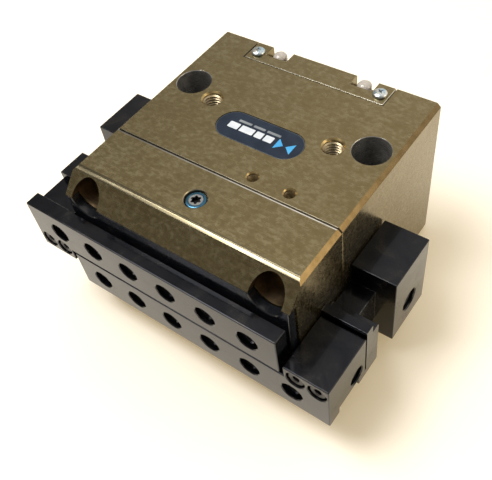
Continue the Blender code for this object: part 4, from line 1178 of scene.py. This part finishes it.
for i, x in enumerate((-12.4, 12.62)):
    dome = [(0, BRACKET_Z + 0.15), (1.75, BRACKET_Z + 0.15), (1.85, BRACKET_Z + 0.25), (1.85, 21.45)]
    for k in range(1, 11):
        t = math.pi / 2 * k / 10
        dome.append((1.85 * math.cos(t), 21.45 + 1.23 * math.sin(t)) if k < 10 else (0, 22.68))
    piece(turned(f"sensor_plug_{i + 1}_dome", dome, "Z", (x, -2.0, 0), SEGS, "plug"), "housing", "plug_plastic", f"sensor_plug_{i + 1}")

# ================================================================ label
LABEL_Z = HALF_T - 0.05
label_y = LABEL_Y
rim = prism("label_plate_rim", stadium(11.85 - 4.45, 4.45, centre=(LABEL_X, label_y)), "Z", HALF_T - 0.35, LABEL_Z - 0.06, 0.05, 2, finish="label_rim")
piece(rim, "housing", "label_navy", "label_plate")
film = prism("label_plate_film", stadium(11.68 - 4.28, 4.28, centre=(LABEL_X, label_y)), "Z", HALF_T - 0.34, LABEL_Z, 0.05, 2, finish="label")
piece(film, "housing", "label_navy")


def bar_shape(x0, x1, y0, y1, r):
    return rounded((x0, x1), (y0, y1), r, 6)


def printed(name, outlines, finish, low=LABEL_Z - 0.04, high=LABEL_Z + 0.035):
    """Flat raised print: several closed outlines as one piece."""
    bm = bmesh.new()
    for outline in outlines:
        part = prism_mesh(outline, "Z", low, high)
        mesh = bpy.data.meshes.new("part")
        part.to_mesh(mesh)
        part.free()
        bm.from_mesh(mesh)
        bpy.data.meshes.remove(mesh)
    return piece(new_object(name, bm, finish), "housing", "label_navy")


# a plain pattern of bars, and two arrow heads that point at each other
bars = [bar_shape(x0, x1, label_y - 1.25, label_y + 0.75, 0.22) for x0, x1 in ((-8.2, -5.3), (-4.8, -1.0), (-0.5, 1.6), (2.1, 4.5))]
thin = [bar_shape(x0, x1, label_y + 1.45, label_y + 2.15, 0.2) for x0, x1 in ((-6.6, -2.9), (-2.3, 1.0), (1.6, 5.4))]
printed("label_bars", bars, "label_white")
printed("label_lines", thin, "label_grey")
printed(
    "label_arrows",
    [
        [(5.6, label_y - 2.2), (7.5, label_y - 0.5), (5.6, label_y + 1.2)],
        [(10.1, label_y - 2.2), (10.1, label_y + 1.2), (8.2, label_y - 0.5)],
    ],
    "label_blue",
)

# ================================================================ lubrication plug
lube = turned(
    "lube_plug_screw",
    [
        (0, 13.5),
        (1.3, 13.5),
        (1.45, 13.7),
        (1.45, 20.7),
        (2.48, 20.7),
        (2.55, 20.78),
        (2.55, 21.52),
        (2.5, 21.64),
        (2.36, 21.78),
        (2.2, 21.85),
        (1.86, 21.85),
        (1.8, 21.79),
        (1.74, 21.79),
        (1.68, 21.85),
        (0, 21.85),
    ],
    "Z",
    (0, LUBE_Y, 0),
    80,
    "lube",
)
star = prism(label("lobe"), lobes(1.1, 0.2, (0, LUBE_Y)), "Z", 20.75, 23.0)
star.data.materials.append(LOOKS["black_oxide"])
cut(lube, star)
piece(lube, "housing", "zinc_plated_screw", "lube_plug")

# ================================================================ bushes and rod bearing
for place, y, height, outer, inner in (
    ("rear", ROD_REAR_Y, ROD_REAR_Z, BUSH_REAR_R, ROD_REAR_R + RUN_GAP),
    ("front", ROD_FRONT_Y, ROD_FRONT_Z, BUSH_FRONT_R, ROD_FRONT_R + RUN_GAP),
):
    for level, sz in (("upper", 1), ("lower", -1)):
        for side, sx in (("left", -1), ("right", 1)):
            near, far = (BLIND_IN, BLIND_OUT) if sx == sz else (BUSH_IN, BUSH_OUT)
            low, high = sorted((sx * near, sx * far))
            piece(
                turned(f"bush_{place}_{level}_{side}", ring_profile(inner, outer, low, high), "X", (0, y, sz * height), 64, "bronze"),
                "housing",
                "bronze_bush",
                f"guide_bush_{place}_{level}_{side}",
            )
piece(turned("rod_bush_ring", ring_profile(3.05, 5.0, -28.5, -27.6), "Y", (0, 0, 0), 64, "bronze"), "housing", "bronze_bush", "rod_bush")
piece(turned("rod_seal_ring", ring_profile(3.05, 5.0, -27.5, -26.1, 0.3), "Y", (0, 0, 0), 64, "seal"), "housing", "seal_rubber", "rod_seal")

# ================================================================ piston group
piston = prism("piston_body", stadium(BORE_HALF, 12.85), "Y", -22.5, -17.5, 0.3, 2, finish="piston_alloy")
groove = prism(label("piston_groove"), stadium(BORE_HALF, 15.0), "Y", -21.3, -18.9)
cut(groove, prism(label("piston_core"), stadium(BORE_HALF, 11.4), "Y", -22.0, -18.0))
join(piston, prism(label("piston_boss"), stadium(BORE_HALF, 9.5), "Y", -25.5, -22.0, 0.3, 2))
cut(
    piston,
    groove,
    hole("Y", (0, 0, 0), 2.15, -27.0, -16.0),
    hole("Y", (0, 0, 0), 3.6, -19.9, -16.0),
    hole("Y", (SPRING_X, 0, 0), 3.3, -20.0, -16.0),
    hole("Y", (-SPRING_X, 0, 0), 3.3, -20.0, -16.0),
    hole("Y", (0, 0, 8.6), 2.1, -20.6, -16.0, 40),
)
piece(piston, "piston_group", "piston_aluminium", "piston")
piston_seal = prism("piston_seal_ring", stadium(BORE_HALF, 12.93), "Y", -21.15, -19.05, 0.35, 3, finish="seal")
cut(piston_seal, prism(label("seal_hole"), stadium(BORE_HALF, 11.5), "Y", -24.0, -16.0))
piece(piston_seal, "piston_group", "seal_rubber", "piston_seal")
piece(
    turned("sensing_magnet_disc", rod_profile(2.0, -20.5, -17.6, 0.2), "Y", (0, 0, 8.6), 48, "magnet"),
    "piston_group",
    "magnet",
    "sensing_magnet",
)
rod = turned(
    "piston_rod_bar",
    [
        (0, -51.5),
        (1.7, -51.5),
        (2.0, -51.2),
        (2.0, -46.7),
        (2.7, -46.7),
        (3.0, -46.4),
        (3.0, -25.8),
        (2.85, -25.65),
        (2.0, -25.65),
        (2.0, -20.25),
        (1.85, -20.1),
        (0, -20.1),
    ],
    "Y",
    (0, 0, 0),
    SEGS,
    "ground",
)
cut(rod, hole("Y", (0, 0, 0), 1.4, -27.0, -19.0, 40))
piece(rod, "piston_group", "ground_steel", "piston_rod")
piece(
    cap_screw("piston_screw_head", "Y", (0, 0, 0), 3.3, 2.0, 1.25, 6.0, -19.8, 1, "black_oxide", 2.5),
    "piston_group",
    "black_oxide_screw",
    "piston_screw",
)
SLOPE = math.pi / 4
SLANT = RIB_RUN / math.cos(math.pi / 4)
hook = block("wedge_hook_body", (-6.5, 6.5), (HOOK_Y - 3.6, HOOK_Y + 4.0), (-HOOK_HALF_Z, HOOK_HALF_Z), 0.4, "ground")
join(
    hook,
    prism(label("rib"), stadium(SLANT, RIB_R, 16, SLOPE, (0, HOOK_Y)), "Z", HOOK_HALF_Z - 0.6, RIB_TOP, 0.15, 2),
    prism(label("rib"), stadium(SLANT, RIB_R, 16, math.pi - SLOPE, (0, HOOK_Y)), "Z", -RIB_TOP, -HOOK_HALF_Z + 0.6, 0.15, 2),
)
cut(hook, hole("Y", (0, 0, 0), 2.12, -51.9, -40.0))
piece(hook, "piston_group", "ground_steel", "wedge_hook")


def coil(name, x, low, high, radius, wire, turns, per_turn=32, round_wire=12):
    """A round-wire compression spring along Y with closed end turns."""
    bm = bmesh.new()
    steps = int(turns * per_turn)
    heights, total = [0.0], 0.0
    for k in range(steps):
        turn = (k + 0.5) / per_turn
        edge = min(turn, turns - turn)
        total += 2.1 * wire if edge < 0.75 else 2.1 * wire + 100.0 * min(edge - 0.75, 0.25)
        heights.append(total)
    free = (high - low) - 2 * wire
    spread = [h - 2.1 * wire * k for k, h in enumerate(heights)]
    rings = []
    for k in range(steps + 1):
        along = 2.1 * wire * k / per_turn + (free - 2.1 * wire * turns) * spread[k] / spread[-1]
        a = 2 * math.pi * k / per_turn
        out = Vector((math.cos(a), 0, math.sin(a)))
        centre = Vector((x, low + wire + along, 0)) + radius * out
        rings.append(
            [
                bm.verts.new(centre + wire * (math.cos(2 * math.pi * m / round_wire) * out + math.sin(2 * math.pi * m / round_wire) * Vector((0, 1, 0))))
                for m in range(round_wire)
            ]
        )
    for a, b in zip(rings, rings[1:]):
        for m in range(round_wire):
            q = (m + 1) % round_wire
            bm.faces.new((a[m], a[q], b[q], b[m]))
    bm.faces.new(rings[0])
    bm.faces.new(list(reversed(rings[-1])))
    return new_object(name, bm, "spring")


for i, sx in enumerate((-1, 1)):
    spring = piece(coil(f"spring_{i + 1}_coil", sx * SPRING_X, -19.9, -3.3, 2.55, 0.42, 6), "housing", "spring_steel", f"spring_{i + 1}", angle=60)
    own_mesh(spring)

# ================================================================ jaws


def jaw(side):
    flip = side == "right"
    body = f"jaw_{side}"
    x_out, x_in = -JAW_OUT, -JAW_IN

    carrier = block(f"jaw_carrier_{side}_block", (x_out, x_in), (-41.4, -26.2), (LEG_LOW, LEG_TOP), 0.22, "burnished")
    join(
        carrier,
        block(label("web"), (-38.6, x_in - 0.01), (-51.0, -40.0), (-1.25, 9.75), 0.12),
        prism(
            label("strip"),
            [
                (-STRIP_REAR, -2.4),
                (-STRIP_REAR, BAR_TOP),
                (-STEP_FROM, BAR_TOP),
                (-STEP_FROM, STEP_TOP),
                (-53.9, STEP_TOP),
                (-53.9, STRIP_LOW),
                (-51.5, STRIP_LOW),
                (-51.5, -2.4),
            ],
            "X",
            x_out,
            x_in,
            0.3,
            3,
            0.15,
        ),
    )
    cut(
        carrier,
        hole("X", (0, ROD_REAR_Y, ROD_REAR_Z), ROD_REAR_R + FIT_GAP, -39.5, -30.0),
        hole("X", (0, ROD_REAR_Y, ROD_REAR_Z), 1.65, -42.0, -38.0, 32),
        drilled("X", (0, ROD_REAR_Y, ROD_REAR_Z), 3.0, -40.5, -JAW_OUT, 0.25, 64),
        *[hole("Y", (x, 0, -0.4), 1.2, -55.0, -50.4, 32) for x in (-40.7, -35.25)],
    )
    piece(carrier, body, "jaw_burnished_steel", f"jaw_carrier_{side}", flip=flip)

    bar = block(f"finger_bar_{side}_block", (x_out, BAR_END), (-BAR_FRONT, -BAR_BACK), (BAR_LOW, BAR_TOP), 0.28, "burnished")
    join(bar, block(label("finger_block"), (x_out, x_in), (-BAR_FRONT, -54.2), (BLOCK_LOW, BAR_TOP), 0.28))
    cutters = [
        pocket((x_out - 1, x_in + 1), (-BAR_BACK, -53.0), (STEP_TOP - 0.1, BAR_TOP + 1)),
        hole("X", (0, ROD_FRONT_Y, ROD_FRONT_Z), ROD_FRONT_R + FIT_GAP, -39.5, -30.0),
        hole("X", (0, ROD_FRONT_Y, ROD_FRONT_Z), 1.35, -42.0, -38.0, 32),
        drilled("X", (0, ROD_FRONT_Y, ROD_FRONT_Z), 2.45, -40.5, -JAW_OUT, 0.25, 64),
    ]
    ridges = bmesh.new()
    for x in (23.5, 12.0, 0.5, -11.0, -22.5, -34.0):
        through = x > x_in
        low = -BAR_BACK + 1 if through else -BAR_FRONT + 6.0
        cutters.append(
            turned(
                label("finger_hole"),
                [
                    (0, -BAR_FRONT - 1),
                    (3.95, -BAR_FRONT - 1),
                    (2.75, -BAR_FRONT + 0.2),
                    (2.75, -BAR_FRONT + 1.6),
                    (1.95, -BAR_FRONT + 1.6),
                    (1.65, -BAR_FRONT + 1.9),
                    (1.65, low),
                    (0, low if through else low + 0.9),
                ],
                "Y",
                (x, 0, BAR_HOLE_Z),
                64,
            )
        )
        thread("Y", (x, 0, BAR_HOLE_Z), 1.65, 1.46, 0.7, -BAR_FRONT + 2.2, -BAR_BACK - 0.4 if through else -BAR_FRONT + 5.7, None, steps=40, bm=ridges)
    for x in (-40.7, -35.25):
        cutters.append(
            turned(
                label("bar_counterbore"),
                [
                    (0, -BAR_FRONT - 1),
                    (3.6, -BAR_FRONT - 1),
                    (2.4, -BAR_FRONT + 0.2),
                    (2.4, -BAR_FRONT + 2.8),
                    (1.4, -BAR_FRONT + 2.8),
                    (1.4, -53.0),
                    (0, -53.0),
                ],
                "Y",
                (x, 0, -0.4),
                56,
            )
        )
    piece(cut(bar, *cutters), body, "jaw_burnished_steel", f"finger_bar_{side}", flip=flip)
    piece(new_object(f"finger_threads_{side}", ridges, "burnished"), body, "jaw_burnished_steel", angle=50, flip=flip)

    for place, y, z, radius, tapped, head, shank, across in (
        ("rear", ROD_REAR_Y, ROD_REAR_Z, ROD_REAR_R, 1.35, 2.75, 1.25, 2.2),
        ("front", ROD_FRONT_Y, ROD_FRONT_Z, ROD_FRONT_R, 1.15, 2.2, 1.05, 1.8),
    ):
        guide_rod = turned(
            f"guide_rod_{place}_{side}_bar",
            [(0, -39.3), (radius - 0.3, -39.3), (radius, -39.0), (radius, ROD_FAR - 0.5), (radius - 0.12, ROD_FAR - 0.25), (radius - 0.5, ROD_FAR), (0, ROD_FAR)],
            "X",
            (0, y, z),
            64,
            "ground",
        )
        cut(guide_rod, hole("X", (0, y, z), tapped, -40.3, -32.3, 40))
        piece(guide_rod, body, "ground_steel", f"guide_rod_{place}_{side}", flip=flip)
        piece(
            cap_screw(f"rod_screw_{place}_{side}_head", "X", (0, y, z), head, 2.2, shank, 7.0, -40.6, -1, "black_oxide", across),
            body,
            "black_oxide_screw",
            f"rod_screw_{place}_{side}",
            flip=flip,
        )

    drive = block(f"drive_block_{side}_body", (-6.4, 16.4), (-61.4, -29.95), (3.7, 11.8), 0.4, "ground")
    cut(
        drive,
        hole("X", (0, ROD_REAR_Y, ROD_REAR_Z), ROD_REAR_R + FIT_GAP, -8.0, 18.0),
        hole("X", (0, ROD_FRONT_Y, ROD_FRONT_Z), ROD_FRONT_R + FIT_GAP, -8.0, 18.0),
        prism(label("groove"), stadium(SLANT + math.hypot(10.0, 10.0) / 2.0, RIB_R + 0.12, 16, SLOPE, (5.0, HOOK_Y + 5.0)), "Z", 2.0, RIB_TOP + 0.3),
    )
    piece(drive, body, "ground_steel", f"drive_block_{side}", flip=flip)
    for i, x in enumerate((-40.7, -35.25)):
        piece(
            cap_screw(f"bar_screw_{i + 1}_{side}_head", "Y", (x, 0, -0.4), 2.2, 2.2, 1.1, 15.5, -66.65, -1, "black_oxide", 1.8),
            body,
            "black_oxide_screw",
            f"bar_screw_{i + 1}_{side}",
            flip=flip,
        )


jaw("left")
jaw("right")

# ================================================================ floor, light and camera


def floor_look():
    k = Look("floor_pale")
    tone = k.noise(0.02, 3.0)
    fibre = k.noise(0.9, 3.0)
    colour = k.mix(tone, (0.86, 0.845, 0.81), (0.90, 0.89, 0.865))
    k.bump(fibre, 0.02, 0.3)
    # painted light: the floor glows a warm amber, which lifts and tints its shadows beige
    k.shader.inputs["Emission Color"].default_value = (1.0, 0.64, 0.12, 1.0)
    k.shader.inputs["Emission Strength"].default_value = 0.21
    return k.set(colour=colour, rough=0.6, metal=0.0, specular=0.25)


bm = bmesh.new()
bmesh.ops.create_grid(bm, x_segments=24, y_segments=24, size=1600.0)
for vert in bm.verts:
    vert.co.z = -HALF_T - 0.02
floor = new_object("floor", bm)
floor.data.materials.append(floor_look())

world = bpy.data.worlds.new("studio")
world.use_nodes = True
SCENE.world = world
tree = world.node_tree
tree.nodes.clear()


def wnode(kind, **props):
    node = tree.nodes.new(kind)
    for key, value in props.items():
        setattr(node, key, value)
    return node


coords = wnode("ShaderNodeTexCoord")


def toward(direction, a, b, c0, c1):
    """A smooth value that rises as the ray turns towards `direction`."""
    v = Vector(direction).normalized()
    dot = wnode("ShaderNodeVectorMath", operation="DOT_PRODUCT")
    tree.links.new(coords.outputs["Generated"], dot.inputs[0])
    dot.inputs[1].default_value = v
    node = wnode("ShaderNodeMapRange", interpolation_type="SMOOTHSTEP")
    tree.links.new(dot.outputs["Value"], node.inputs["Value"])
    for key, value in (("From Min", a), ("From Max", b), ("To Min", c0), ("To Max", c1)):
        node.inputs[key].default_value = value
    return node.outputs[0]


studio = wnode("ShaderNodeBackground")
studio.inputs["Color"].default_value = (1.0, 0.95, 0.86, 1.0)
# a broad soft sky, brightest behind the housing, with a dark screen on the finger side
screened = wnode("ShaderNodeMath", operation="MULTIPLY")
tree.links.new(toward((0.25, 0.75, 0.61), 0.30, 0.95, 0.28, 0.98), screened.inputs[0])
tree.links.new(toward((-0.44, -0.77, 0.456), 0.45, 0.90, 1.0, 0.80), screened.inputs[1])
tree.links.new(screened.outputs[0], studio.inputs["Strength"])
seen = wnode("ShaderNodeBackground")
seen.inputs["Color"].default_value = (1.0, 0.99, 0.955, 1.0)
seen.inputs["Strength"].default_value = 1.0
path = wnode("ShaderNodeLightPath")
pick = wnode("ShaderNodeMixShader")
tree.links.new(path.outputs["Is Camera Ray"], pick.inputs[0])
tree.links.new(studio.outputs[0], pick.inputs[1])
tree.links.new(seen.outputs[0], pick.inputs[2])
tree.links.new(pick.outputs[0], wnode("ShaderNodeOutputWorld").inputs["Surface"])


def area(name, direction, away, size, watts, colour=(1.0, 0.97, 0.92), aim=(0, -0.033, 0.0)):
    light = bpy.data.lights.new(name, "AREA")
    light.shape = "RECTANGLE"
    light.size, light.size_y = size
    light.energy = watts
    light.color = colour
    obj = bpy.data.objects.new(name, light)
    LINKED.objects.link(obj)
    v = Vector(direction).normalized()
    obj.location = Vector(aim) + v * away
    obj.rotation_euler = (-v).to_track_quat("-Z", "Y").to_euler()
    return obj


area("key", (-0.38, -0.21, 0.90), 0.66, (0.36, 0.36), 4.7)
area("fill", (0.80, 0.33, 0.50), 0.80, (0.34, 0.34), 0.9, (1.0, 0.86, 0.64))

camera_data = bpy.data.cameras.new("camera")
camera_data.lens = 50.76
camera_data.sensor_width = 36.0
camera_data.clip_start = 0.01
camera_data.clip_end = 20.0
camera = bpy.data.objects.new("camera", camera_data)
LINKED.objects.link(camera)
right = Vector((0.80274, 0.58541, -0.11364))
up = Vector((-0.40060, 0.67054, 0.62442))
back = Vector((0.44174, -0.45572, 0.77278))
turn = Matrix((right, up, back)).transposed().to_4x4()
camera.matrix_world = Matrix.Translation((0.07948, -0.12174, 0.13254)) @ turn
SCENE.camera = camera

SCENE.view_settings.view_transform = "Standard"
SCENE.view_settings.look = "None"
SCENE.view_settings.exposure = 0.0
SCENE.view_settings.gamma = 1.0
